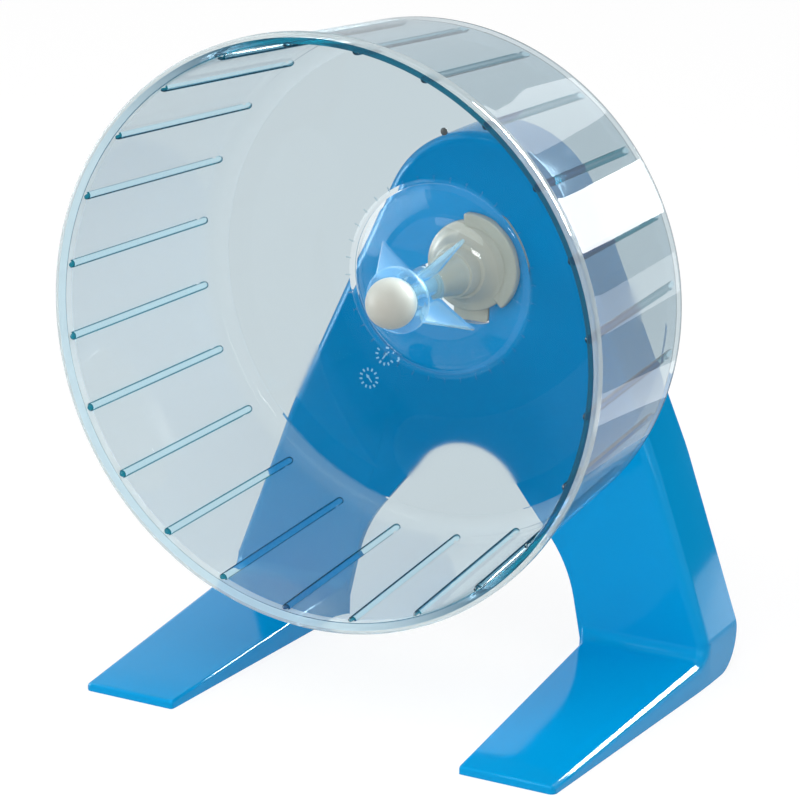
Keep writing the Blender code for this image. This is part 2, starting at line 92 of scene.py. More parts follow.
class Slot(Enum):
    """The material slots of the record."""

    BLUE = "blue_plastic"
    IVORY = "ivory_plastic"
    CLEAR = "clear_plastic"


class View(Enum):
    """The direction in which a prism is drawn out."""

    FRONT = "front"
    SIDE = "side"
    PLAN = "plan"


class Zone(Enum):
    """The fields of the clear moulding that are finished apart."""

    WALL = "wall"
    RIM = "rim"
    EDGE = "edge"
    RIB = "rib"
    RIB_END = "rib_end"
    DISC = "disc"
    DOME = "dome"
    HUB = "hub"
    CORNER = "corner"


class Cut(Enum):
    """What a Boolean does with its tool."""

    JOIN = "UNION"
    TAKE = "DIFFERENCE"
    TRIM = "INTERSECT"


class Mix(Enum):
    """What a mix node mixes."""

    COLOUR = "RGBA"
    PLACE = "VECTOR"


class Solver(Enum):
    """How a Boolean is worked out."""

    EXACT = "EXACT"
    MANIFOLD = "MANIFOLD"


@dataclass(frozen=True)
class FaceFrame:
    """Where the axle's line and the rim's plane lie in the world, in metres."""

    axle_height: float = 0.1266
    rim_y: float = -0.06435

    def matrix(self) -> Matrix:
        """Gives the matrix from the face frame to the world."""
        upright = Matrix.Rotation(math.pi / 2, 4, "X")
        return Matrix.Translation((0.0, self.rim_y, self.axle_height)) @ upright

    @property
    def floor(self) -> float:
        """Gives the floor's height in the face frame."""
        return -self.axle_height


FACE = FaceFrame()


# Outlines


def between(first: float, last: float, share: float) -> float:
    """Gives the value that lies at a share of the way from one value to another."""
    return first + (last - first) * share


def polar(radius: float, degrees: float) -> Point:
    """Gives the point at a radius and an angle, counted from +x towards +y."""
    angle = math.radians(degrees)
    return (radius * math.cos(angle), radius * math.sin(angle))


def arc(centre: Point, radius: float, start: float, end: float, step: float = 4.0) -> list[Point]:
    """Gives the points of an arc, both ends among them.

    Args:
        centre: The arc's centre.
        radius: The arc's radius.
        start: The first angle in degrees.
        end: The last angle in degrees.
        step: The largest angle between two points, in degrees.

    Returns:
        The points from start to end.
    """
    count = max(1, math.ceil(abs(end - start) / step))
    points = []
    for index in range(count + 1):
        x, y = polar(radius, start + (end - start) * index / count)
        points.append((centre[0] + x, centre[1] + y))
    return points


def round_corner(before: Point, corner: Point, after: Point, radius: float) -> list[Point]:
    """Gives the arc that rounds one corner of an outline.

    Args:
        before: The outline's point before the corner.
        corner: The sharp corner.
        after: The outline's point after the corner.
        radius: The radius of the rounding.

    Returns:
        The arc's points, in the outline's order.
    """
    here = Vector(corner)
    one = (Vector(before) - here).normalized()
    two = (Vector(after) - here).normalized()
    half = math.acos(max(-1.0, min(1.0, one.dot(two)))) / 2
    centre = here + (one + two).normalized() * (radius / math.sin(half))
    tangent = radius / math.tan(half)
    first = here + one * tangent - centre
    last = here + two * tangent - centre
    start = math.degrees(math.atan2(first.y, first.x))
    turn = (math.degrees(math.atan2(last.y, last.x)) - start + 180.0) % 360.0 - 180.0
    return arc((centre.x, centre.y), radius, start, start + turn)


def rounded(corners: list[Triple]) -> list[Point]:
    """Rounds the corners of a closed outline.

    Args:
        corners: Corners as (x, y, radius), where radius 0 keeps a corner sharp.

    Returns:
        The outline's points.
    """
    points: list[Point] = []
    for index, (x, y, radius) in enumerate(corners):
        if radius == 0:
            points.append((x, y))
            continue
        before = corners[index - 1][:2]
        after = corners[(index + 1) % len(corners)][:2]
        points.extend(round_corner(before, (x, y), after, radius))
    return points


def sector(inner: float, outer: float, start: float, end: float) -> list[Point]:
    """Gives the outline of a ring sector, between two radii and two angles in degrees."""
    return arc((0.0, 0.0), outer, start, end) + arc((0.0, 0.0), inner, end, start)


def mirrored(corners: list[Triple]) -> list[Triple]:
    """Gives corners as (x, y, radius) on the other side of the middle, in reverse order."""
    return [(-x, y, radius) for x, y, radius in reversed(corners)]


# Meshes


def baked(shape: bmesh.types.BMesh, name: str) -> Mesh:
    """Writes a shape to a new mesh, with its faces turned outward.

    Args:
        shape: The shape, which is freed.
        name: The mesh's name.

    Returns:
        The new mesh.
    """
    bmesh.ops.recalc_face_normals(shape, faces=shape.faces)
    mesh = bpy.data.meshes.new(name)
    shape.to_mesh(mesh)
    shape.free()
    return mesh


def turned(profile: list[Point], steps: int, closed: bool) -> Mesh:
    """Turns a profile about the axle's line.

    Args:
        profile: Points of (radius, depth). A radius of 0 becomes a pole.
        steps: How many steps make the full turn.
        closed: True for a ring section, whose last point joins its first.

    Returns:
        A closed mesh in the face frame.
    """
    shape = bmesh.new()
    rings = []
    for radius, depth in profile:
        if radius == 0:
            rings.append([shape.verts.new((0.0, 0.0, -depth))])
            continue
        ring = [polar(radius, 360.0 * index / steps) for index in range(steps)]
        rings.append([shape.verts.new((x, y, -depth)) for x, y in ring])
    pairs = list(zip(rings, rings[1:]))
    if closed:
        pairs.append((rings[-1], rings[0]))
    for near, far in pairs:
        for index in range(steps):
            after = (index + 1) % steps
            corners = (
                near[index % len(near)],
                near[after % len(near)],
                far[after % len(far)],
                far[index % len(far)],
            )
            shape.faces.new(list(dict.fromkeys(corners)))
    return baked(shape, "turned")


def prism(outline: list[Point], low: float, high: float, view: View = View.FRONT) -> Mesh:
    """Draws an outline out into a closed block.

    Args:
        outline: For the front view points of (x, up), for the side view (depth, up), and for the
            plan (x, depth).
        low: Where the block starts: a depth, an x or a height.
        high: Where it ends.
        view: The view that the outline is drawn in.

    Returns:
        A closed mesh in the face frame.
    """

    def place(u: float, v: float, w: float) -> Triple:
        """Puts a point of the block into the face frame.

        Args:
            u: The outline's first number.
            v: Its second number.
            w: The distance along the block.

        Returns:
            The point as (x, y, z).
        """
        if view is View.FRONT:
            return (u, v, -w)
        if view is View.SIDE:
            return (w, v, -u)
        return (u, w, -v)

    shape = bmesh.new()
    near = [shape.verts.new(place(u, v, low)) for u, v in outline]
    far = [shape.verts.new(place(u, v, high)) for u, v in outline]
    shape.faces.new(near)
    shape.faces.new(list(reversed(far)))
    for index in range(len(outline)):
        after = (index + 1) % len(outline)
        shape.faces.new((near[after], near[index], far[index], far[after]))
    return baked(shape, "prism")


def linked(name: str, data: bpy.types.ID) -> bpy.types.Object:
    """Puts a mesh, a lamp or a camera on a new object in the scene.

    Args:
        name: The object's name.
        data: The mesh, lamp or camera.

    Returns:
        The new object.
    """
    item = bpy.data.objects.new(name, data)
    bpy.context.scene.collection.objects.link(item)
    return item


def evaluated(item: bpy.types.Object) -> Mesh:
    """Takes an object's mesh with its modifiers applied.

    Args:
        item: The object, which is removed.

    Returns:
        The finished mesh.
    """
    graph = bpy.context.evaluated_depsgraph_get()
    mesh = bpy.data.meshes.new_from_object(item.evaluated_get(graph), depsgraph=graph)
    bpy.data.objects.remove(item, do_unlink=True)
    return mesh


def softened(mesh: Mesh, width: float, segments: int = 3, by_weight: bool = False) -> Mesh:
    """Rounds the edges of a block.

    Args:
        mesh: The block.
        width: The width of the rounding.
        segments: How many steps the rounding has.
        by_weight: True to go by the edges' weights, False to round every sharp edge alike.

    Returns:
        The rounded block.
    """
    item = linked("block", mesh)
    bevel = item.modifiers.new("edges", "BEVEL")
    bevel.limit_method = "WEIGHT" if by_weight else "ANGLE"
    bevel.width = width
    bevel.segments = segments
    return evaluated(item)


def combine(base: Mesh, tools: list[tuple[Mesh, Cut]], solver: Solver = Solver.EXACT) -> Mesh:
    """Joins meshes to a base, cuts them from it or trims it with them.

    Args:
        base: The closed mesh to start from.
        tools: The closed meshes, in order, with what each does.
        solver: How the Boolean is worked out.

    Returns:
        One closed mesh.
    """
    item = linked("base", base)
    helpers = []
    for tool, action in tools:
        helper = linked("tool", tool)
        helpers.append(helper)
        modifier = item.modifiers.new(action.name, "BOOLEAN")
        modifier.operation = action.value
        modifier.solver = solver.value
        modifier.object = helper
    mesh = evaluated(item)
    for helper in helpers:
        bpy.data.objects.remove(helper, do_unlink=True)
    return mesh


# Node trees


class NodeTree:
    """A node tree, with short calls that add and join its nodes."""

    def __init__(self, tree: bpy.types.NodeTree) -> None:
        """Takes the tree to build in."""
        self.tree = tree

    def join(self, socket: Socket, value: object) -> None:
        """Feeds an input.

        Args:
            socket: The input.
            value: A socket, which is linked to it, or the value that it is set to.
        """
        if isinstance(value, Socket):
            self.tree.links.new(value, socket)
        else:
            socket.default_value = value

    def add(self, kind: str, **values: object) -> bpy.types.Node:
        """Adds a node.

        Args:
            kind: The node's type.
            values: Properties of the node, which come first, and its inputs by socket name, where
                an underscore stands for a space.

        Returns:
            The new node.
        """
        node = self.tree.nodes.new(kind)
        for key, value in values.items():
            if hasattr(node, key):
                setattr(node, key, value)
                continue
            name = key.replace("_", " ")
            named = [socket for socket in node.inputs if socket.name == name and socket.enabled]
            self.join(named[0], value)
        return node

    def math(self, operation: str, *values: object) -> Socket:
        """Adds a Math node.

        Args:
            operation: The node's operation.
            values: Its inputs, numbers or sockets.

        Returns:
            The node's result.
        """
        node = self.add("ShaderNodeMath", operation=operation)
        for socket, value in zip(node.inputs, values):
            self.join(socket, value)
        return node.outputs[0]

    def blend(self, kind: Mix, share: Socket, first: object, second: object) -> Socket:
        """Mixes two colours or two places.

        Args:
            kind: Which of the two they are.
            share: How much of the second is in the mix, from 0 to 1.
            first: What the mix is at share 0.
            second: What it is at share 1.

        Returns:
            The mix.
        """
        node = self.add("ShaderNodeMix", data_type=kind.value, Factor=share, A=first, B=second)
        return [socket for socket in node.outputs if socket.enabled][0]


class ShaderTree(NodeTree):
    """The node tree of a material or of the world."""

    def __init__(
        self, owner: Material | bpy.types.World, output: str = "ShaderNodeOutputMaterial"
    ) -> None:
        """Starts a tree that holds only its output.

        Args:
            owner: The material or the world.
            output: The type of its output node.
        """
        owner.use_nodes = True
        super().__init__(owner.node_tree)
        self.tree.nodes.clear()
        self.owner = owner
        self.output = self.add(output)

    @cached_property
    def place(self) -> Socket:
        """Gives a point's place in object space."""
        return self.add("ShaderNodeTexCoord").outputs["Object"]

    def noise(self, scale: float, detail: float = 2.0, roughness: float = 0.5) -> Socket:
        """Adds a noise in object space.

        Args:
            scale: How fine it is.
            detail: How many finer layers it has.
            roughness: How strong those layers are.

        Returns:
            The noise's value, from 0 to 1.
        """
        node = self.add(
            "ShaderNodeTexNoise", Vector=self.place, Scale=scale, Detail=detail, Roughness=roughness
        )
        return node.outputs["Fac"]

    def spread(self, value: Socket, low: float, high: float) -> Socket:
        """Maps a value from 0 to 1 onto the range from low to high."""
        node = self.add("ShaderNodeMapRange", Value=value, To_Min=low, To_Max=high)
        return node.outputs["Result"]

    def shade(self, value: Socket, dark: Colour, light: Colour) -> Socket:
        """Mixes two colours by a value from 0 to 1."""
        return self.blend(Mix.COLOUR, value, (*dark, 1.0), (*light, 1.0))

    def bump(self, height: Socket, depth: float, strength: float) -> Socket:
        """Adds a bump of a depth in metres and gives the new normal."""
        node = self.add("ShaderNodeBump", Distance=depth, Strength=strength, Height=height)
        return node.outputs["Normal"]

    def seen(self) -> Socket:
        """Tells what is looked at straight, in a gloss or through the plastic.

        Returns:
            1 for such a ray, 0 for any other.
        """
        rays = self.add("ShaderNodeLightPath").outputs
        straight = self.math("MAXIMUM", rays["Is Camera Ray"], rays["Is Glossy Ray"])
        return self.math("MAXIMUM", straight, rays["Is Transmission Ray"])

    def mix(self, share: Socket, first: bpy.types.Node, second: bpy.types.Node) -> bpy.types.Node:
        """Mixes two shaders.

        Args:
            share: How much of the second is in the mix, from 0 to 1.
            first: The shader at share 0.
            second: The shader at share 1.

        Returns:
            The node that mixes them.
        """
        node = self.add("ShaderNodeMixShader")
        for socket, value in zip(node.inputs, (share, first.outputs[0], second.outputs[0])):
            self.join(socket, value)
        return node

    def finish(self, surface: bpy.types.Node) -> Material | bpy.types.World:
        """Joins a shader to the output and gives the tree's owner."""
        self.join(self.output.inputs["Surface"], surface.outputs[0])
        return self.owner


class GeometryTree(NodeTree):
    """A Geometry Nodes tree with named inputs, which makes one repeated shape."""

    KINDS = {
        int: "NodeSocketInt",
        float: "NodeSocketFloat",
        tuple: "NodeSocketVector",
        Material: "NodeSocketMaterial",
    }

    def __init__(self, name: str, material: Material, sizes: dict[str, object]) -> None:
        """Starts a tree.

        Args:
            name: The tree's name.
            material: The material that its shape gets.
            sizes: Its other inputs by name, with their values.
        """
        super().__init__(bpy.data.node_groups.new(name, "GeometryNodeTree"))
        self.values = {**sizes, "Material": material}
        self.identifiers: dict[str, str] = {}
        sockets = self.tree.interface
        for key, value in self.values.items():
            kind = self.KINDS[type(value)]
            socket = sockets.new_socket(name=key, in_out="INPUT", socket_type=kind)
            self.identifiers[key] = socket.identifier
        sockets.new_socket(name="Geometry", in_out="OUTPUT", socket_type="NodeSocketGeometry")
        self.inputs = self.add("NodeGroupInput").outputs
        self.output = self.add("NodeGroupOutput")

    def ring(self, shape: Socket) -> Socket:
        """Repeats a shape about the z axis.

        Args:
            shape: The geometry of one copy, at its place for the angle 0.

        Returns:
            The instances: input Count says how many, and input Phase, in degrees, turns them.
        """
        points = self.add("GeometryNodePoints", Count=self.inputs["Count"]).outputs[0]
        index = self.add("GeometryNodeInputIndex").outputs[0]
        pitch = self.math("DIVIDE", math.tau, self.inputs["Count"])
        phase = self.math("RADIANS", self.inputs["Phase"])
        turn = self.math("ADD", self.math("MULTIPLY", index, pitch), phase)
        turned_by = self.add("ShaderNodeCombineXYZ", X=0.0, Y=0.0, Z=turn).outputs[0]
        node = self.add(
            "GeometryNodeInstanceOnPoints", Points=points, Instance=shape, Rotation=turned_by
        )
        return node.outputs[0]

    def build(self, geometry: Socket) -> Mesh:
        """Ends the tree, runs it once and gives its result.

        Args:
            geometry: The geometry to hand out.

        Returns:
            A plain mesh in the face frame.
        """
        real = self.add("GeometryNodeRealizeInstances", Geometry=geometry).outputs[0]
        dressed = self.add(
            "GeometryNodeSetMaterial", Geometry=real, Material=self.inputs["Material"]
        )
        self.join(self.output.inputs["Geometry"], dressed.outputs[0])
        item = linked(self.tree.name, bpy.data.meshes.new(self.tree.name))
        modifier = item.modifiers.new(self.tree.name, "NODES")
        modifier.node_group = self.tree
        for key, value in self.values.items():
            modifier[self.identifiers[key]] = value
        return evaluated(item)


def ring_of_boxes(
    name: str, material: Material, count: int, phase: float, size: Triple, middle: Triple
) -> Mesh:
    """Makes a ring of small boxes about the z axis by Geometry Nodes.

    Args:
        name: The tree's name.
        material: The boxes' finish.
        count: How many boxes the ring has.
        phase: The first box's angle in degrees.
        size: A box's length, width and height.
        middle: Where the middle of a box lies at the angle 0.

    Returns:
        The boxes as one mesh.
    """
    sizes = {"Count": count, "Phase": phase, "Size": size, "Middle": middle}
    tree = GeometryTree(name, material, sizes)
    box = tree.add("GeometryNodeMeshCube", Size=tree.inputs["Size"]).outputs["Mesh"]
    placed = tree.add("GeometryNodeTransform", Geometry=box, Translation=tree.inputs["Middle"])
    return tree.build(tree.ring(placed.outputs[0]))


# Finishes


@dataclass(frozen=True)
class ClearPlastic:
    """Clear moulded plastic, tinted blue-grey, that turns to an edge colour where it is seen edge
    on.

    The tint is what one wall lets through. The edge colour is partly the deeper tint of a longer
    path and partly painted light: painted shade for the dark lines that refraction and light
    carried along the plastic draw at its edges, and on the hub a painted glow. The plastic bends
    light only a little, so that its thick edges stay clear, and a coat on it carries the
    reflections.
    """

    tint: Colour = (0.57, 0.65, 0.69)
    edge: Colour = (0.04, 0.14, 0.19)
    edge_start: float = 0.82
    edge_end: float = 1.0
    clarity: float = 0.92
    ior: float = 1.01
    roughness: float = 0.01
    specular_tint: Colour = (1.0, 1.0, 1.0)
    coat: float = 0.42
    coat_ior: float = 1.5
    coat_roughness: float = 0.02
    ripple_scale: float = 38.0
    ripple_depth: float = 0.0006
    ripple_strength: float = 0.05
    shadow: Colour = (0.96, 0.975, 0.985)

    def make(self, name: str, pads: "FrostedPads | None" = None) -> Material:
        """Makes the material.

        Args:
            name: The material's name.
            pads: Where the surface is frosted, if it is anywhere.

        Returns:
            The material.
        """
        shader = ShaderTree(bpy.data.materials.new(name))
        ripple = shader.noise(self.ripple_scale, 1.0)
        # Painted light: the colour turns from the tint to the edge colour as a face is seen more
        # edge on.
        painted_edge_share = shader.add(
            "ShaderNodeMapRange",
            interpolation_type="SMOOTHSTEP",
            Value=shader.add("ShaderNodeLayerWeight", Blend=0.5).outputs["Facing"],
            From_Min=self.edge_start,
            From_Max=self.edge_end,
        )
        normal = shader.bump(ripple, self.ripple_depth, self.ripple_strength)
        body = shader.add(
            "ShaderNodeBsdfPrincipled",
            Base_Color=shader.shade(painted_edge_share.outputs["Result"], self.tint, self.edge),
            Roughness=self.roughness,
            IOR=self.ior,
            Transmission_Weight=self.clarity,
            Specular_Tint=(*self.specular_tint, 1.0),
            Coat_Weight=self.coat,
            Coat_IOR=self.coat_ior,
            Coat_Roughness=self.coat_roughness,
            Coat_Normal=normal,
            Normal=normal,
        )
        if pads is not None:
            inside, grain = pads.masks(shader)
            rough = shader.math("MULTIPLY_ADD", inside, pads.roughness, self.roughness)
            height = shader.math("MULTIPLY_ADD", grain, pads.grain_share, ripple)
            frosted = shader.bump(height, self.ripple_depth, self.ripple_strength)
            shader.join(body.inputs["Roughness"], rough)
            shader.join(body.inputs["Normal"], frosted)
        passing = shader.add("ShaderNodeBsdfTransparent", Color=(*self.shadow, 1.0))
        shadowed = shader.add("ShaderNodeLightPath").outputs["Is Shadow Ray"]
        return shader.finish(shader.mix(shadowed, body, passing))


@dataclass(frozen=True)
class FrostedPads:
    """Frosted fields on the drum's back disc: each starts round and tapers off along the edge."""

    count: int = 2
    pitch_degrees: float = 120.0
    radius: float = 0.0562
    half_width: float = 0.0121
    start_degrees: float = 147.0
    lead_degrees: float = 12.5
    tail_degrees: float = 107.0
    taper: float = 2.6
    roughness: float = 0.20
    grain_scale: float = 900.0
    grain_share: float = 0.35
    edge: float = 0.0004
    back_depth: float = 0.0770

    def masks(self, shader: ShaderTree) -> tuple[Socket, Socket]:
        """Adds the nodes that find the fields from a point's place.

        Args:
            shader: The tree to add them to.

        Returns:
            How far a point lies in a field, from 0 to 1, and the grain's height there.
        """
        calc = shader.math
        split = shader.add("ShaderNodeSeparateXYZ", Vector=shader.place)
        x = split.outputs["X"]
        up = calc("SUBTRACT", split.outputs["Z"], FACE.axle_height)
        far = calc("SQRT", calc("ADD", calc("MULTIPLY", x, x), calc("MULTIPLY", up, up)))
        pitch = math.radians(self.pitch_degrees)
        lead = math.radians(self.lead_degrees)
        start = math.radians(self.start_degrees) - lead
        angle = calc("FLOORED_MODULO", calc("SUBTRACT", calc("ARCTAN2", up, x), start), math.tau)
        along = calc("SUBTRACT", calc("FLOORED_MODULO", angle, pitch), lead)
        # The round start: how far the point lies outside a band along the field's middle line.
        crossed = calc(
            "MULTIPLY",
            calc("MULTIPLY", far, 2 * self.radius),
            calc("COSINE", calc("MINIMUM", along, 0.0)),
        )
        squared = calc("ADD", calc("MULTIPLY", far, far), self.radius**2)
        away = calc("SQRT", calc("SUBTRACT", squared, crossed))
        away = calc("SUBTRACT", away, self.half_width)
        # The tail: its inner edge moves outward until nothing is left of the field.
        share = calc("DIVIDE", calc("MAXIMUM", along, 0.0), math.radians(self.tail_degrees))
        bow = calc("POWER", share, self.taper)
        inner = calc("MULTIPLY_ADD", bow, 2 * self.half_width, self.radius - self.half_width)
        away = calc("MAXIMUM", away, calc("SUBTRACT", inner, far))
        inside = calc("DIVIDE", calc("MULTIPLY", away, -1.0), self.edge)
        inside = calc("MINIMUM", calc("MAXIMUM", inside, 0.0), 1.0)
        # Only the disc itself is frosted, and only as many fields as the count says.
        depth = calc("SUBTRACT", split.outputs["Y"], FACE.rim_y)
        inside = calc("MULTIPLY", inside, calc("GREATER_THAN", depth, self.back_depth))
        present = calc("LESS_THAN", angle, pitch * self.count)
        inside = calc("MULTIPLY", inside, present)
        return inside, calc("MULTIPLY", shader.noise(self.grain_scale, 2.0), inside)


@dataclass(frozen=True)
class MouldedPlastic:
    """Opaque moulded plastic: an even colour with slight flow marks and a fine orange peel."""

    dark: Colour
    light: Colour
    roughness: float
    roughness_swing: float = 0.04
    specular: float = 0.5
    specular_tint: Colour = (1.0, 1.0, 1.0)
    flow_scale: float = 9.0
    peel_scale: float = 420.0
    peel_depth: float = 0.00008
    peel_strength: float = 0.12

    def make(self, name: str) -> Material:
        """Makes the material.

        Args:
            name: The material's name.

        Returns:
            The material.
        """
        shader = ShaderTree(bpy.data.materials.new(name))
        flow = shader.noise(self.flow_scale, 3.0, 0.45)
        wear = shader.noise(self.flow_scale * 5, 4.0, 0.6)
        peel = shader.noise(self.peel_scale, 1.0)
        low = self.roughness - self.roughness_swing
        high = self.roughness + self.roughness_swing
        body = shader.add(
            "ShaderNodeBsdfPrincipled",
            Base_Color=shader.shade(flow, self.dark, self.light),
            Roughness=shader.spread(wear, low, high),
            Specular_IOR_Level=self.specular,
            Specular_Tint=(*self.specular_tint, 1.0),
            Normal=shader.bump(peel, self.peel_depth, self.peel_strength),
        )
        return shader.finish(body)


@dataclass(frozen=True)
class Finishes:
    """Every finish on the wheel and its stand."""

    pads: FrostedPads = FrostedPads()
    # Painted shade: the wall, like the disc below, keeps the class's dark teal edge colour for its
    # faces seen nearly edge on.
    wall: ClearPlastic = ClearPlastic()
    # Painted shade: the rim's faces turn darker teal as they are seen edge on.
    rim: ClearPlastic = ClearPlastic(
        tint=(0.62, 0.68, 0.69),
        edge=(0.10, 0.26, 0.32),
        edge_start=0.70,
        edge_end=0.95,
        clarity=0.65,
    )
    # Painted shade: the lip inside the rim is dark teal for all but the faces seen straight on, in
    # place of the dark band that light carried round the rim gives it.
    edge: ClearPlastic = ClearPlastic(
        tint=(0.50, 0.66, 0.74),
        edge=(0.0, 0.07, 0.135),
        edge_start=0.10,
        edge_end=0.22,
        clarity=0.45,
    )
    # Painted shade: each rib's flanks turn dark teal, drawing the dark lines that refraction gives
    # a round clear bar.
    rib: ClearPlastic = ClearPlastic(
        tint=(0.41, 0.68, 0.80),
        edge=(0.0, 0.08, 0.14),
        edge_start=0.46,
        edge_end=0.62,
        clarity=1.0,
        coat=0.10,
    )
    # Painted shade: the ribs' front ends are nearly black teal all over, in place of the darkness
    # that refraction gives the clear ball ends.
    rib_end: ClearPlastic = ClearPlastic(
        tint=(0.0, 0.06, 0.11), edge=(0.0, 0.015, 0.03), edge_start=0.1, edge_end=0.7, clarity=1.0
    )
    disc: ClearPlastic = ClearPlastic(
        tint=(0.555, 0.645, 0.685), clarity=1.0, coat=0.0, ior=1.22, specular_tint=(0.2, 0.6, 0.9)
    )
    # Painted shade: the dome turns darker blue-teal where it is seen edge on.
    dome: ClearPlastic = ClearPlastic(
        tint=(0.78, 0.85, 0.88), edge=(0.35, 0.62, 0.75), edge_start=0.6, clarity=1.0, coat=0.6
    )
    # Painted glow: the hub and webs turn paler blue where they are seen edge on, for the light
    # carried through them.
    hub: ClearPlastic = ClearPlastic(
        tint=(0.46, 0.75, 0.93),
        edge=(0.62, 0.85, 1.0),
        edge_start=0.3,
        clarity=0.80,
        roughness=0.16,
        ior=1.08,
        coat=0.05,
    )
    # Painted shade: the corner between wall and disc turns nearly black teal where seen edge on,
    # drawing the dark lines at its edges.
    corner: ClearPlastic = ClearPlastic(
        tint=(0.575, 0.655, 0.69),
        edge=(0.01, 0.05, 0.07),
        edge_start=0.66,
        edge_end=0.93,
        clarity=0.90,
        coat=0.12,
    )
    blue: MouldedPlastic = MouldedPlastic(
        dark=(0.0, 0.256, 0.550),
        light=(0.0, 0.276, 0.585),
        roughness=0.09,
        roughness_swing=0.02,
        specular=0.20,
        specular_tint=(0.35, 0.75, 1.0),
    )
    # Painted highlight: the dial marks are moulded in the stand's own blue, and this lighter blue
    # paints the highlight they show.
    blue_mark_highlight: MouldedPlastic = MouldedPlastic(
        dark=(0.42, 0.72, 0.92), light=(0.50, 0.78, 0.96), roughness=0.30
    )
    ivory: MouldedPlastic = MouldedPlastic(
        dark=(0.425, 0.385, 0.310), light=(0.465, 0.422, 0.342), roughness=0.24, peel_strength=0.2
    )
    ivory_ball: MouldedPlastic = MouldedPlastic(
        dark=(0.385, 0.378, 0.340),
        light=(0.420, 0.412, 0.370),
        roughness=0.36,
        specular=0.08,
        peel_strength=0.2,
    )
    # Painted shade: a near-black finish for the plug in the gate's hollow, which is clear plastic
    # in the moulding itself.
    gate: MouldedPlastic = MouldedPlastic(
        dark=(0.020, 0.026, 0.028), light=(0.030, 0.037, 0.040), roughness=0.45
    )


# Pieces


@dataclass(frozen=True)
class Moulding:
    """A visible piece: its name, the body it rides on, its slot, which is not used, and the solids
    it stands for.

    Edges that bend more than sharp_degrees stay sharp.
    """

    name: str
    body: Body
    slot: Slot
    nodes: tuple[str, ...] = ()
    sharp_degrees: float = 32.0

    def add(self, mesh: Mesh, material: Material) -> bpy.types.Object:
        """Places a mesh in the world, dresses it and hands it to its body.

        Args:
            mesh: The piece's mesh in the face frame.
            material: Its finish.

        Returns:
            The finished object, at the world's origin.
        """
        mesh.name = self.name
        mesh.transform(FACE.matrix())
        mesh.materials.clear()
        mesh.materials.append(material)
        mesh.shade_smooth()
        mesh.set_sharp_from_angle(angle=math.radians(self.sharp_degrees))
        item = linked(self.name, mesh)
        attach(item, self.body.value)
        if self.nodes:
            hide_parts(*self.nodes)
        log.info("%s: %d faces on body %s", self.name, len(mesh.polygons), self.body.value)
        return item


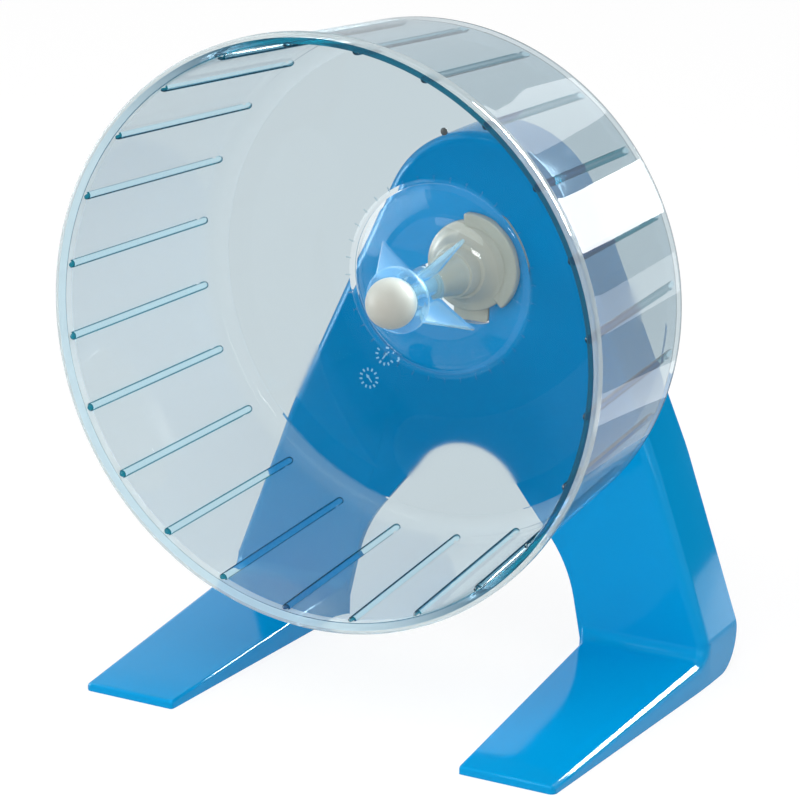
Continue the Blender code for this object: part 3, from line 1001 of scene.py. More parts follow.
@dataclass
class Drum:
    """The clear moulding: rim, tapered wall, ribs, back disc, dome, hub tube, cup and webs."""

    finishes: Finishes
    radius: float = 0.0900
    depth: float = 0.0815
    wall: float = 0.0016
    rim_height: float = 0.0040
    rim_overhang: float = 0.0018
    rim_round: float = 0.0007
    lip_width: float = 0.0021
    lip_slope: float = 20.0
    lip_round: float = 0.0003
    back_radius: float = 0.0831
    corner_radius: float = 0.0068
    steps: int = 240
    track_depths: tuple[float, ...] = (0.0120, 0.0240, 0.0360, 0.0480, 0.0600, 0.0700)
    disc_radii: tuple[float, ...] = (0.0660, 0.0540, 0.0420)
    disc_inner_radius: float = 0.0345
    rim_hollow_share: float = 0.6
    rim_hollow_lift: float = 0.7
    rim_step: float = 15.0
    corner_step: float = 9.0
    lip_step: float = 20.0
    lip_stations: tuple[float, ...] = (0.25, 0.95, 1.0)
    rib_count: int = 24
    rib_radius: float = 0.0013
    rib_front_depth: float = 0.0016
    rib_back_depth: float = 0.0745
    rib_phase: float = 8.3
    rib_tip: float = 0.08
    rib_rings: int = 34
    rib_sides: int = 16
    dome_seat_radius: float = 0.0288
    dome_top_depth: float = 0.0706
    dome_ring_width: float = 0.0022
    dome_ring_height: float = 0.0009
    ring_start: float = 0.0003
    ring_shoulder: float = 0.0004
    ring_crest: float = 0.00005
    ring_fall: Point = (0.0001, 0.00015)
    dome_power: float = 3.4
    dome_step: float = 0.0006
    dome_rings: int = 30
    dome_foot_flare: float = 0.9
    dome_foot_power: int = 6
    dome_foot_share: float = 0.2
    hub_tube_radius: float = 0.0054
    hub_bore_radius: float = 0.0026
    hub_back_depth: float = 0.0724
    cup_radius: float = 0.0104
    cup_lip_depth: float = 0.0504
    cup_lip_width: float = 0.0012
    cup_waist_depth: float = 0.0594
    trumpet_steps: int = 12
    trumpet_power: float = 2.2
    trumpet_tail: float = 0.0030
    tube_flare: float = 0.0022
    crest_step: float = 18.0
    flare_step: float = 15.0
    ball_depth: float = 0.0474
    ball_hollow: float = 0.0082
    web_count: int = 4
    web_thickness: float = 0.0012
    web_tip_radius: float = 0.0200
    web_phase: float = 54.0
    web_round: float = 0.00035
    web_steps: int = 6
    tick_count: int = 36
    tick_size: Triple = (0.0017, 0.00035, 0.0004)
    tick_phase: float = 5.0
    tick_bed: Point = (0.25, 0.35)
    gate_radius: float = 0.0013
    gate_distance: float = 0.0471
    gate_front: float = 0.0010
    gate_back: float = 0.0006
    plug_section: tuple[Point, ...] = (
        (0.0, -0.0001),
        (0.6, -0.00005),
        (0.92, 0.0001),
        (0.92, 0.0005),
        (0.0, 0.0005),
    )
    plug_steps: int = 24
    near: float = 0.0002

    @property
    def front_radius(self) -> float:
        """Gives the wall's outer radius just behind the rim."""
        return self.radius - self.rim_overhang

    @property
    def disc_front(self) -> float:
        """Gives the depth of the back disc's front face."""
        return self.depth - self.wall

    def wall_radius(self, depth: float, inner: bool) -> float:
        """Gives the wall's radius at a depth.

        Args:
            depth: The depth behind the rim's plane.
            inner: True for the wall's inner face, False for its outer one.

        Returns:
            The radius.
        """
        share = (depth - self.rim_height) / (self.depth - self.corner_radius - self.rim_height)
        share = max(0.0, share)
        radius = between(self.front_radius, self.back_radius, share)
        return radius - self.wall if inner else radius

    def dome_depth(self, radius: float) -> float:
        """Gives the depth of the dome's front face.

        Args:
            radius: The distance from the axle's line.

        Returns:
            The depth behind the rim's plane.
        """
        top = self.dome_top_depth
        foot = self.disc_front - self.dome_ring_height
        share = (radius - self.hub_tube_radius) / (self.dome_seat_radius - self.hub_tube_radius)
        return between(top, foot, max(0.0, share) ** self.dome_power)

    @property
    def dome_radii(self) -> list[float]:
        """Gives the radii at which the dome's section has a point, from its foot inward."""
        return [self.dome_seat_radius - self.dome_step * index for index in range(self.dome_rings)]

    def corner_arc(self, radius: float, start: float, end: float) -> list[Point]:
        """Gives an arc about the middle of the corner between wall and disc."""
        centre = (self.back_radius - self.corner_radius, self.depth - self.corner_radius)
        return arc(centre, radius, start, end, self.corner_step)

    def outer_side(self) -> list[Point]:
        """Gives the section's outer side, from the rim over the wall and disc to the dome.

        Returns:
            The section's points as (radius, depth).
        """
        rim, fine = self.rim_round, self.rim_step
        hollow = rim * self.rim_hollow_share
        points = arc((self.radius - rim, rim), rim, -90.0, 0.0, fine)
        points += arc((self.radius - rim, self.rim_height - rim), rim, 0.0, 80.0, fine)
        centre = (self.front_radius + hollow, self.rim_height + rim * self.rim_hollow_lift)
        points += arc(centre, hollow, -95.0, -180.0, fine)
        points += [(self.wall_radius(depth, inner=False), depth) for depth in self.track_depths]
        points += self.corner_arc(self.corner_radius, 0.0, 90.0)
        points += [(radius, self.depth) for radius in (*self.disc_radii, self.disc_inner_radius)]
        points.append((self.dome_seat_radius + self.wall, self.depth))
        for radius in self.dome_radii:
            depth = self.dome_depth(radius) + self.wall
            if depth < self.depth - self.wall * self.dome_foot_share:
                foot = min(1.0, (radius / self.dome_seat_radius) ** self.dome_foot_power)
                points.append((radius + self.wall * self.dome_foot_flare * foot, depth))
        return points + [(self.hub_bore_radius, self.hub_back_depth)]

    def hub(self) -> list[Point]:
        """Gives the section of the cup that holds the ball, of its lip and of the tube.

        Returns:
            The section's points as (radius, depth).
        """
        floor = math.degrees(math.asin(self.hub_bore_radius / self.ball_hollow))
        edge = math.degrees(math.acos((self.cup_lip_depth - self.ball_depth) / self.ball_hollow))
        cup = [(y, x) for x, y in arc((self.ball_depth, 0.0), self.ball_hollow, floor, edge)]
        lip = self.cup_lip_width / 2
        centre = (self.cup_radius - lip, self.cup_lip_depth + lip)
        return cup + arc(centre, lip, -90.0, 0.0, self.crest_step) + self.tube()

    def tube(self) -> list[Point]:
        """Gives the hub tube's outline: a trumpet from the cup's lip to the dome.

        Returns:
            The section's points as (radius, depth).
        """
        start = self.cup_lip_depth + 2 * self.cup_lip_width
        run = self.cup_waist_depth + self.trumpet_tail - start
        points = []
        for index in range(self.trumpet_steps + 1):
            share = index / self.trumpet_steps
            ease = (1 - share) ** self.trumpet_power
            radius = between(self.hub_tube_radius, self.cup_radius, ease)
            points.append((radius, start + run * share))
        flare = self.tube_flare
        centre = (self.hub_tube_radius + flare, self.dome_top_depth - flare)
        curve = arc((0.0, 0.0), flare, 0.0, 90.0, self.flare_step)
        return points + [(centre[0] - x, centre[1] + y) for x, y in curve]

    def inner_side(self) -> list[Point]:
        """Gives the section's inner side, from the dome over the disc and wall to the lip.

        Returns:
            The section's points as (radius, depth).
        """
        points = [(radius, self.dome_depth(radius)) for radius in reversed(self.dome_radii)]
        ring = self.dome_seat_radius + self.dome_ring_width
        crown = self.disc_front - self.dome_ring_height
        points += [
            (self.dome_seat_radius + self.ring_start, crown - self.ring_crest),
            (ring - self.ring_shoulder, crown - self.ring_crest),
            (ring + self.ring_fall[0], crown + self.ring_fall[1]),
            (ring + self.dome_ring_height, self.disc_front),
        ]
        points += [(radius, self.disc_front) for radius in reversed(self.disc_radii)]
        points += self.corner_arc(self.corner_radius - self.wall, 90.0, 0.0)
        depths = (*reversed(self.track_depths), self.rim_height)
        points += [(self.wall_radius(depth, inner=True), depth) for depth in depths]
        mouth = self.front_radius - self.wall
        fall = math.tan(math.radians(self.lip_slope))
        lip = self.lip_round
        drop = (self.lip_width - lip) * fall
        centre = (mouth + lip, drop + lip)
        points += arc(centre, lip, 180.0, 270.0 - self.lip_slope, self.lip_step)
        return points + [
            (mouth + share * self.lip_width, (1.0 - share) * self.lip_width * fall)
            for share in self.lip_stations
        ]

    def ribs(self, material: Material) -> Mesh:
        """Makes the round bars along the wall by Geometry Nodes, with ball-shaped ends.

        Args:
            material: The bars' finish.

        Returns:
            The bars as one mesh.
        """
        depths = (self.rib_front_depth, self.rib_back_depth)
        front, back = ((self.wall_radius(depth, inner=True), 0.0, -depth) for depth in depths)
        sizes = {
            "Count": self.rib_count,
            "Phase": self.rib_phase,
            "Front End": front,
            "Back End": back,
            "Bar Radius": self.rib_radius,
            "Rings": self.rib_rings,
            "Sides": self.rib_sides,
            "Tip": self.rib_tip,
        }
        tree = GeometryTree("running ribs", material, sizes)
        calc, given = tree.math, tree.inputs
        ends = (given["Front End"], given["Back End"])
        line = tree.add("GeometryNodeCurvePrimitiveLine", Start=ends[0], End=ends[1]).outputs[0]
        points = tree.add("GeometryNodeResampleCurve", Curve=line, Count=given["Rings"]).outputs[0]
        along = tree.add("GeometryNodeSplineParameter").outputs
        swing = calc("COSINE", calc("MULTIPLY", along["Factor"], math.pi))
        place = tree.blend(Mix.PLACE, calc("MULTIPLY_ADD", swing, -0.5, 0.5), *ends)
        spaced = tree.add("GeometryNodeSetPosition", Geometry=points, Position=place).outputs[0]
        total = tree.add("GeometryNodeSplineLength").outputs["Length"]
        end = calc("MINIMUM", along["Length"], calc("SUBTRACT", total, along["Length"]))
        near = calc("MINIMUM", calc("DIVIDE", end, given["Bar Radius"]), 1.0)
        missing = calc("SUBTRACT", 1.0, near)
        ball = calc("SQRT", calc("SUBTRACT", 1.0, calc("MULTIPLY", missing, missing)))
        bar_size = {"Resolution": given["Sides"], "Radius": given["Bar Radius"]}
        circle = tree.add("GeometryNodeCurvePrimitiveCircle", **bar_size).outputs[0]
        bar = tree.add(
            "GeometryNodeCurveToMesh",
            Curve=spaced,
            Profile_Curve=circle,
            Scale=calc("MAXIMUM", ball, given["Tip"]),
            Fill_Caps=True,
        ).outputs[0]
        closed = tree.add("GeometryNodeMergeByDistance", Geometry=bar, Distance=MERGE)
        return tree.build(tree.ring(closed.outputs[0]))

    def webs(self, material: Material) -> Mesh:
        """Makes the flat webs between the hub's tube and the dome by Geometry Nodes.

        Args:
            material: The webs' finish.

        Returns:
            The webs as one mesh.
        """
        sunk = self.wall / 2
        tip = self.web_tip_radius
        outline = [
            (self.cup_radius - sunk, self.cup_lip_depth + self.cup_lip_width),
            (tip, self.dome_depth(tip) - self.near),
        ]
        for index in range(self.web_steps + 1):
            radius = tip + (self.hub_tube_radius - sunk - tip) * index / self.web_steps
            outline.append((radius, self.dome_depth(radius) + sunk))
        outline.append((self.hub_tube_radius - sunk, self.cup_waist_depth))
        half = self.web_thickness / 2
        blade = softened(prism(outline, -half, half, View.PLAN), self.web_round)
        one = linked("web", blade)
        sizes = {"Count": self.web_count, "Phase": self.web_phase}
        tree = GeometryTree("hub webs", material, sizes)
        shape = tree.add("GeometryNodeObjectInfo", Object=one).outputs["Geometry"]
        mesh = tree.build(tree.ring(shape))
        bpy.data.objects.remove(one, do_unlink=True)
        return mesh

    def ticks(self, material: Material) -> Mesh:
        """Makes the short radial ticks round the dome's ring.

        Args:
            material: The ticks' finish.

        Returns:
            The ticks as one mesh.
        """
        long, _, high = self.tick_size
        out, lift = long * self.tick_bed[0], high * self.tick_bed[1]
        far = self.dome_seat_radius + self.dome_ring_width + self.dome_ring_height + out
        middle = (far, 0.0, -(self.disc_front - lift))
        return ring_of_boxes(
            "dome ticks", material, self.tick_count, self.tick_phase, self.tick_size, middle
        )

    def gate_plug(self) -> Mesh:
        """Makes the low plug that fills the gate's hollow in the disc, and is dressed near black as
        painted shade.

        Returns:
            A closed mesh.
        """
        profile = [
            (self.gate_radius * share, self.disc_front + depth)
            for share, depth in self.plug_section
        ]
        plug = turned(profile, self.plug_steps, closed=False)
        plug.transform(Matrix.Translation((0.0, self.gate_distance, 0.0)))
        return plug

    def zone(self, place: Vector) -> Zone:
        """Says which field of the moulding a point lies in.

        Args:
            place: The point in the world.

        Returns:
            The point's field.
        """
        near = self.near
        depth = place.y - FACE.rim_y
        radius = math.hypot(place.x, place.z - FACE.axle_height)
        inside = self.wall_radius(depth, inner=True)
        if depth < self.rim_height + near and radius > inside - near:
            lip = depth < self.lip_width / 2 and radius < inside + self.lip_width
            return Zone.EDGE if lip else Zone.RIM
        bar = self.rib_radius
        along = self.rib_front_depth - bar < depth < self.rib_back_depth + bar
        if along and inside - 2 * bar < radius < inside - near:
            return Zone.RIB_END if depth < self.rib_front_depth + bar else Zone.RIB
        if radius < self.web_tip_radius + near and depth < self.dome_depth(radius) - near:
            return Zone.HUB
        if radius < self.dome_seat_radius + self.dome_ring_width + self.dome_ring_height:
            return Zone.DOME
        if depth > self.disc_front - near and radius < self.back_radius - self.corner_radius:
            return Zone.DISC
        if depth > self.depth - self.corner_radius:
            return Zone.CORNER
        return Zone.WALL

    def build(self) -> None:
        """Builds and dresses the clear moulding, its ticks and the near-black plug that paints
        shade into its gate's hollow.
        """
        finishes = {
            zone: getattr(self.finishes, zone.value).make(
                f"clear {zone.value}", self.finishes.pads if zone is Zone.DISC else None
            )
            for zone in Zone
        }
        glass = finishes[Zone.WALL]
        gate = prism(
            arc((0.0, self.gate_distance), self.gate_radius, 0.0, 345.0, 15.0),
            self.disc_front - self.gate_front,
            self.disc_front + self.gate_back,
        )
        tools = [(self.ribs(glass), Cut.JOIN), (self.webs(glass), Cut.JOIN), (gate, Cut.TAKE)]
        profile = self.outer_side() + self.hub() + self.inner_side()
        solid = combine(turned(profile, self.steps, closed=True), tools, Solver.MANIFOLD)
        drum = Moulding("clear_drum", Body.WHEEL, Slot.CLEAR, ("wheel_drum",)).add(solid, glass)
        order = list(Zone)
        for zone in order[1:]:
            drum.data.materials.append(finishes[zone])
        for face in drum.data.polygons:
            face.material_index = order.index(self.zone(face.center))
        ticks = Moulding("dome_ticks", Body.WHEEL, Slot.CLEAR)
        ticks.add(self.ticks(finishes[Zone.DOME]), finishes[Zone.DOME])
        # The gate's hollow gets a near-black plug: painted shade.
        mark = Moulding("gate_mark", Body.WHEEL, Slot.CLEAR)
        mark.add(self.gate_plug(), self.finishes.gate.make("gate mark"))


@dataclass
class Knob:
    """The ivory ball with the spigot that plugs into the spindle's pin."""

    finishes: Finishes
    radius: float = 0.0079
    depth: float = 0.0474
    spigot_radius: float = 0.0013
    spigot_back: float = 0.0640
    chamfer: float = 0.0003
    ball_step: float = 3.5
    steps: int = 96

    def build(self) -> None:
        """Builds and dresses the ball knob."""
        join = math.degrees(math.asin(self.spigot_radius / self.radius))
        curve = arc((self.depth, 0.0), self.radius, 180.0, join, self.ball_step)
        ball = [(y, x) for x, y in curve]
        ball[0] = (0.0, self.depth - self.radius)
        profile = ball + [
            (self.spigot_radius, self.spigot_back - self.chamfer),
            (self.spigot_radius - self.chamfer, self.spigot_back),
            (0.0, self.spigot_back),
        ]
        mesh = turned(profile, self.steps, closed=False)
        Moulding("ball_knob", Body.AXLE, Slot.IVORY, ("retaining_knob",)).add(
            mesh, self.finishes.ivory_ball.make("ivory ball plastic")
        )


@dataclass
class Spindle:
    """The ivory moulding: pin, taper, collar, flange, grip lobe, key tab and lock ears."""

    finishes: Finishes
    stand_face: float = 0.1030
    stand_wall: float = 0.0024
    gap: float = 0.0003
    pin_radius: float = 0.0024
    bore_radius: float = 0.0014
    bore_end: float = 0.0643
    pin_front: float = 0.05523
    shoulder_front: float = 0.0727
    shoulder_radius: float = 0.0034
    shoulder_width: float = 0.0011
    taper_small: float = 0.0040
    taper_large: float = 0.0069
    collar_front: float = 0.0873
    collar_back: float = 0.0927
    collar_small: float = 0.0075
    collar_large: float = 0.0082
    flange_radius: float = 0.0147
    flange_edge: float = 0.0030
    flange_neck: float = 0.0100
    lobe_radius: float = 0.0171
    lobe_start: float = -45.0
    lobe_end: float = 97.0
    lobe_thickness: float = 0.0036
    core_radius: float = 0.0108
    core_wall: float = 0.0022
    core_hollow: float = 0.0985
    tab_width: float = 0.0120
    tab_reach: float = 0.0184
    tab_proud: float = 0.0005
    ear_radius: float = 0.0149
    ear_thickness: float = 0.0020
    ear_half: float = 10.0
    ear_centres: tuple[float, ...] = (90.0, -30.0)
    pin_chamfer: float = 0.0002
    core_chamfer: float = 0.0003
    collar_round: float = 0.0004
    flange_round: float = 0.0012
    lobe_sink: float = 0.0001
    lobe_round: float = 0.0007
    small_round: float = 0.0003
    tab_corner: float = 0.0013
    root_share: float = 0.85
    neck_start: Point = (0.0010, 0.0006)
    neck_end: Point = (0.0014, 0.0016)
    dome_start: Point = (0.0014, 0.0007)
    dome_end: Point = (0.0004, 0.0003)
    steps: int = 128
    collar_step: float = 15.0
    flange_step: float = 12.0

    @property
    def back(self) -> float:
        """Gives the depth of the flange's back, just in front of the stand."""
        return self.stand_face - self.gap

    @property
    def core_back(self) -> float:
        """Gives the depth of the core's back end, which is the ears' back too."""
        return self.stand_face + self.stand_wall + self.gap + self.ear_thickness

    def profile(self) -> list[Point]:
        """Gives the spindle's section, from the bore in its pin to the hollow in its core.

        Returns:
            The section's points as (radius, depth).
        """
        back, core_back = self.back, self.core_back
        front = back - self.flange_edge
        waist = self.shoulder_front + self.shoulder_width
        fine, broken = self.pin_chamfer, self.core_chamfer
        soft, edge = self.collar_round, self.flange_round
        points = [
            (0.0, self.bore_end),
            (self.bore_radius, self.bore_end),
            (self.bore_radius, self.pin_front),
            (self.pin_radius - fine, self.pin_front),
            (self.pin_radius, self.pin_front + fine),
            (self.pin_radius, self.shoulder_front),
            (self.shoulder_radius - fine, self.shoulder_front),
            (self.shoulder_radius, self.shoulder_front + fine),
            (self.shoulder_radius, waist),
            (self.taper_small, waist),
            (self.taper_large, self.collar_front),
        ]
        centre = (self.collar_small - soft, self.collar_front + soft)
        points += arc(centre, soft, -90.0, -5.0, self.collar_step)
        points += [
            (self.collar_large, self.collar_back - soft),
            (self.collar_large - soft, self.collar_back),
            (self.flange_neck - self.neck_start[0], self.collar_back + self.neck_start[1]),
            (self.flange_neck, (self.collar_back + front) / 2),
            (self.flange_neck + self.neck_end[0], front - self.neck_end[1]),
            (self.flange_radius - edge - self.dome_start[0], front - self.dome_start[1]),
            (self.flange_radius - edge - self.dome_end[0], front - self.dome_end[1]),
        ]
        centre = (self.flange_radius - edge, front + edge)
        points += arc(centre, edge, -75.0, 0.0, self.flange_step)
        return points + [
            (self.flange_radius, back - broken),
            (self.flange_radius - broken, back),
            (self.core_radius, back),
            (self.core_radius, core_back - broken),
            (self.core_radius - broken, core_back),
            (self.core_radius - self.core_wall, core_back),
            (self.core_radius - self.core_wall, self.core_hollow),
            (0.0, self.core_hollow),
        ]

    def build(self) -> None:
        """Builds and dresses the spindle."""
        middle = (self.core_radius + self.flange_radius) / 2
        lobe = prism(
            sector(middle, self.lobe_radius, self.lobe_start, self.lobe_end),
            self.back - self.lobe_thickness - self.lobe_sink,
            self.back - self.lobe_sink,
        )
        root = self.core_radius * self.root_share
        half, reach, corner = self.tab_width / 2, self.tab_reach, self.tab_corner
        outline = [(-half, -root, 0), (-half, -reach, corner), (half, -reach, corner)]
        tab = prism(
            rounded(outline + [(half, -root, 0)]),
            self.stand_face - self.tab_proud,
            self.stand_face + self.stand_wall,
        )
        tools = [(softened(lobe, self.lobe_round), Cut.JOIN)]
        tools.append((softened(tab, self.small_round), Cut.JOIN))
        for centre in self.ear_centres:
            ear = prism(
                sector(root, self.ear_radius, centre - self.ear_half, centre + self.ear_half),
                self.core_back - self.ear_thickness,
                self.core_back,
            )
            tools.append((softened(ear, self.small_round), Cut.JOIN))
        mesh = combine(turned(self.profile(), self.steps, closed=False), tools)
        Moulding("spindle", Body.AXLE, Slot.IVORY, ("axle_spindle",)).add(
            mesh, self.finishes.ivory.make("ivory spindle plastic")
        )


@dataclass
class Stand:
    """The blue moulding: mast, two legs, skirts turned back and two wedge feet."""

    finishes: Finishes
    face_depth: float = 0.1030
    back_depth: float = 0.1287
    wall: float = 0.0024
    top_radius: float = 0.0333
    apex_height: float = 0.2178
    knee: Point = (0.0655, 0.0700)
    knee_radius: float = 0.0600
    ankle: Point = (0.0858, 0.0141)
    ankle_radius: float = 0.0100
    outer_foot: float = 0.0860
    arch_apex: float = 0.0853
    arch_top_radius: float = 0.0205
    arch_shoulder: Point = (0.0178, 0.0566)
    arch_shoulder_radius: float = 0.0040
    arch_knee: Point = (0.0372, 0.0322)
    arch_knee_radius: float = 0.0450
    arch_ankle: Point = (0.0428, 0.0050)
    arch_ankle_radius: float = 0.0080
    inner_foot: float = 0.0444
    edge_round: float = 0.0040
    arch_edge_share: float = 0.10
    heel_radius: float = 0.0120
    foot_edge: float = 0.0018
    foot_heel_edge: float = 0.0028
    foot_inner_edge: float = 0.0009
    toe_round: float = 0.0012
    bend_radius: float = 0.0050
    arch_foot_inner: float = 0.0418
    toe_depth: float = 0.0021
    toe_inner: float = 0.0493
    toe_outer: float = 0.0807
    toe_height: float = 0.0026
    instep_height: float = 0.0093
    pocket_front: float = 0.0300
    socket_radius: float = 0.0110
    lock_wall_radius: float = 0.0222
    lock_wall_thickness: float = 0.0018
    lock_wall_height: float = 0.0040
    tab_half: float = 0.0063
    tab_sweep: float = 0.0195
    ear_radius: float = 0.0152
    notch_half: float = 12.0
    twist: float = 60.0
    margin: float = 0.0100
    edge_steps: int = 8
    heel_step: float = 5.0
    toe_steps: int = 5
    instep_steps: int = 6
    bend_steps: int = 12
    corner_steps: int = 7
    lock_steps: int = 128
    foot_sink: float = 0.00005
    foot_inset: float = 0.00002
    foot_root: Point = (0.0040, 0.0060)
    pocket_overlap: float = 0.0003
    pocket_outer: float = 0.0859
    lock_reach: Point = (0.0050, 0.0060)
    dials: tuple[tuple[str, Point, float], ...] = (
        ("dial_upper", (-0.0302, -0.0346), -35.0),
        ("dial_lower", (-0.0359, -0.0432), 40.0),
    )

    def outer(self, inset: float, drop: float) -> list[Triple]:
        """Gives the shell's outer corners, from the right foot over the mast to the left.

        Args:
            inset: How far they lie inside the outline.
            drop: How far they reach below the floor.

        Returns:
            The corners as (x, up, radius).
        """
        floor = FACE.floor
        lean = math.atan(self.knee[0] / (self.apex_height - self.knee[1]))
        right = [
            (self.outer_foot - inset, floor - drop, 0.0),
            (self.ankle[0] - inset, floor + self.ankle[1], self.ankle_radius - inset),
            (self.knee[0] - inset / math.cos(lean), floor + self.knee[1], self.knee_radius),
        ]
        apex = floor + self.apex_height - inset / math.sin(lean)
        return right + [(0.0, apex, self.top_radius - inset)] + mirrored(right)

    def outline(self) -> list[Point]:
        """Gives the front view's outline: mast, two legs and the arch between them.

        Returns:
            The outline's points as (x, up).
        """
        floor = FACE.floor
        arch = [
            (self.inner_foot, floor, 0.0),
            (self.arch_ankle[0], floor + self.arch_ankle[1], self.arch_ankle_radius),
            (self.arch_knee[0], floor + self.arch_knee[1], self.arch_knee_radius),
            (self.arch_shoulder[0], floor + self.arch_shoulder[1], self.arch_shoulder_radius),
        ]
        left = [(-x, y, radius) for x, y, radius in arch]
        apex = (0.0, floor + self.arch_apex, self.arch_top_radius)
        return rounded(self.outer(0.0, 0.0) + left + [apex] + arch[::-1])

    def shell(self) -> Mesh:
        """Makes mast and legs as one block, with the big rounding along their outer front edge.

        Returns:
            A closed mesh.
        """
        mesh = prism(self.outline(), self.face_depth, self.back_depth)
        shape = bmesh.new()
        shape.from_mesh(mesh)
        weight = shape.edges.layers.float.new("bevel_weight_edge")
        apex = FACE.floor + self.arch_apex
        for edge in shape.edges:
            ends = [vertex.co for vertex in edge.verts]
            on_face = all(abs(end.z + self.face_depth) < MERGE for end in ends)
            on_floor = all(abs(end.y - FACE.floor) < MERGE for end in ends)
            if on_face and not on_floor:
                in_arch = all(abs(end.x) < self.inner_foot + MERGE for end in ends)
                low = all(end.y < apex + MERGE for end in ends)
                edge[weight] = self.arch_edge_share if in_arch and low else 1.0
        shape.to_mesh(mesh)
        shape.free()
        return softened(mesh, self.edge_round, self.edge_steps, by_weight=True)

    def heel(self) -> Mesh:
        """Makes the cutter that rounds the skirts' lower back corner.

        Returns:
            A closed mesh.
        """
        back = self.back_depth + self.margin
        low = FACE.floor - self.margin
        centre = (self.back_depth - self.heel_radius, FACE.floor + self.heel_radius)
        curve = arc(centre, self.heel_radius, -90.0, 0.0, self.heel_step)
        corner = [(back, centre[1]), (back, low), (centre[0], low)]
        wide = self.outer_foot + self.margin
        return prism(curve + corner, -wide, wide, View.SIDE)

    def foot_line(self) -> list[tuple[float, float, float, float]]:
        """Gives the foot's top line from its toe to the leg.

        Returns:
            Stations of (depth, height over the floor, angle of the surface's normal in degrees,
            share of the bend behind it), where 90 degrees is up and 180 is to the front.
        """
        rise = self.instep_height - self.toe_height
        slope = math.atan(rise / (self.face_depth - self.toe_depth))
        flat = 90.0 + math.degrees(slope)
        toe = self.toe_round
        centre = (
            self.toe_depth + toe,
            self.toe_height + math.tan(slope) * toe - toe / math.cos(slope),
        )
        line = []
        for index in range(self.toe_steps + 1):
            angle = 180.0 + (flat - 180.0) * index / self.toe_steps
            x, y = polar(toe, angle)
            line.append((centre[0] + x, centre[1] + y, angle, 0.0))
        bend = self.bend_radius
        sunk = self.face_depth + self.foot_sink
        height = self.instep_height - math.tan(slope) * bend + bend / math.cos(slope)
        first = line[-1]
        x, y = polar(bend, flat)
        start = (sunk - bend - x, height - y)
        for index in range(1, self.instep_steps):
            share = index / self.instep_steps
            far, high = (between(one, two, share) for one, two in zip(first, start))
            line.append((far, high, flat, 0.0))
        for index in range(self.bend_steps + 1):
            share = index / self.bend_steps
            angle = between(flat, 180.0, share)
            x, y = polar(bend, angle)
            line.append((sunk - bend - x, height - y, angle, share))
        return line

    def foot(self, side: int) -> Mesh:
        """Makes one foot by laying rounded sections along its top line.

        Args:
            side: 1 for the foot at +x, -1 for the other.

        Returns:
            A closed mesh that ends inside the leg.
        """
        shape = bmesh.new()
        steps = self.corner_steps
        rows = []
        for depth, height, angle, share in self.foot_line():
            forward, up = polar(1.0, angle)
            reach = min(1.0, (depth - self.toe_depth) / (self.face_depth - self.toe_depth))
            inner = between(self.toe_inner, self.inner_foot, reach)
            inner += (self.arch_foot_inner - self.inner_foot) * share
            outer = between(self.toe_outer, self.outer_foot - self.foot_inset, reach)
            sharp = between(self.foot_edge, self.foot_heel_edge, reach)
            wide = between(sharp, self.edge_round, share * share * (3.0 - 2.0 * share))
            row = []
            for radius, edge, sign in ((self.foot_inner_edge, inner, 1), (wide, outer, -1)):
                corner = []
                for index in range(steps + 1):
                    lean = math.radians(90.0 * (steps - index) / steps)
                    x = edge + sign * radius * (1.0 - math.sin(lean))
                    drop = radius * (1.0 - math.cos(lean))
                    corner.append((x, depth - forward * drop, height - up * drop))
                row.extend(reversed(corner) if sign == -1 else corner)
            rows.append(
                [shape.verts.new((x * side, high + FACE.floor, -far)) for x, far, high in row]
            )

        def grounded(vertex: bmesh.types.BMVert) -> bmesh.types.BMVert:
            """Adds the point on the floor that lies under a point of the foot."""
            return shape.verts.new((vertex.co.x, FACE.floor, vertex.co.z))

        ends = [(grounded(row[0]), grounded(row[-1])) for row in rows]
        toe = [ends[0][0], *[grounded(vertex) for vertex in rows[0][1:-1]], ends[0][1]]
        for near, far in [(toe, rows[0])] + list(zip(rows, rows[1:])):
            for index in range(len(near) - 1):
                shape.faces.new((near[index], near[index + 1], far[index + 1], far[index]))
        for index in range(len(rows) - 1):
            here, after = index, index + 1
            for end in (0, -1):
                wall = (ends[here][end], rows[here][end], rows[after][end], ends[after][end])
                shape.faces.new(wall)
        shape.faces.new(toe + [pair[1] for pair in ends[1:]] + [pair[0] for pair in ends[:0:-1]])
        up, inward = self.foot_root
        middle = side * (self.inner_foot + self.outer_foot) / 2
        root = shape.verts.new((middle, FACE.floor + up, -self.face_depth - inward))
        last = [ends[-1][0]] + rows[-1] + [ends[-1][1]]
        for one, two in zip(last, last[1:] + last[:1]):
            shape.faces.new((one, two, root))
        return baked(shape, "foot")

    def pocket(self, side: int) -> Mesh:
        """Makes the cutter for the hollow under one foot.

        Args:
            side: 1 for the foot at +x, -1 for the other.

        Returns:
            A closed mesh.
        """
        floor = FACE.floor
        back = self.face_depth + self.wall + self.pocket_overlap
        corners = []
        for depth in (self.pocket_front, back):
            share = (depth - self.toe_depth) / (self.face_depth - self.toe_depth)
            inner = between(self.toe_inner, self.inner_foot, share) + self.wall
            outer = between(self.toe_outer, self.pocket_outer, min(1.0, share)) - self.wall
            height = between(self.toe_height, self.instep_height, share) - self.wall
            corners.append((inner, outer, height, depth))
        (inner_a, outer_a, high_a, front), (inner_b, outer_b, high_b, rear) = corners
        plan = [(inner_a, front), (outer_a, front), (outer_b, rear), (inner_b, rear)]
        plan = [(x * side, far) for x, far in plan]
        low = floor - self.margin
        profile = [(front, low), (front, floor + high_a), (rear, floor + high_b), (rear, low)]
        wide = self.outer_foot + self.margin
        return combine(
            prism(plan, low, floor + self.margin, View.PLAN),
            [(prism(profile, -wide, wide, View.SIDE), Cut.TRIM)],
        )

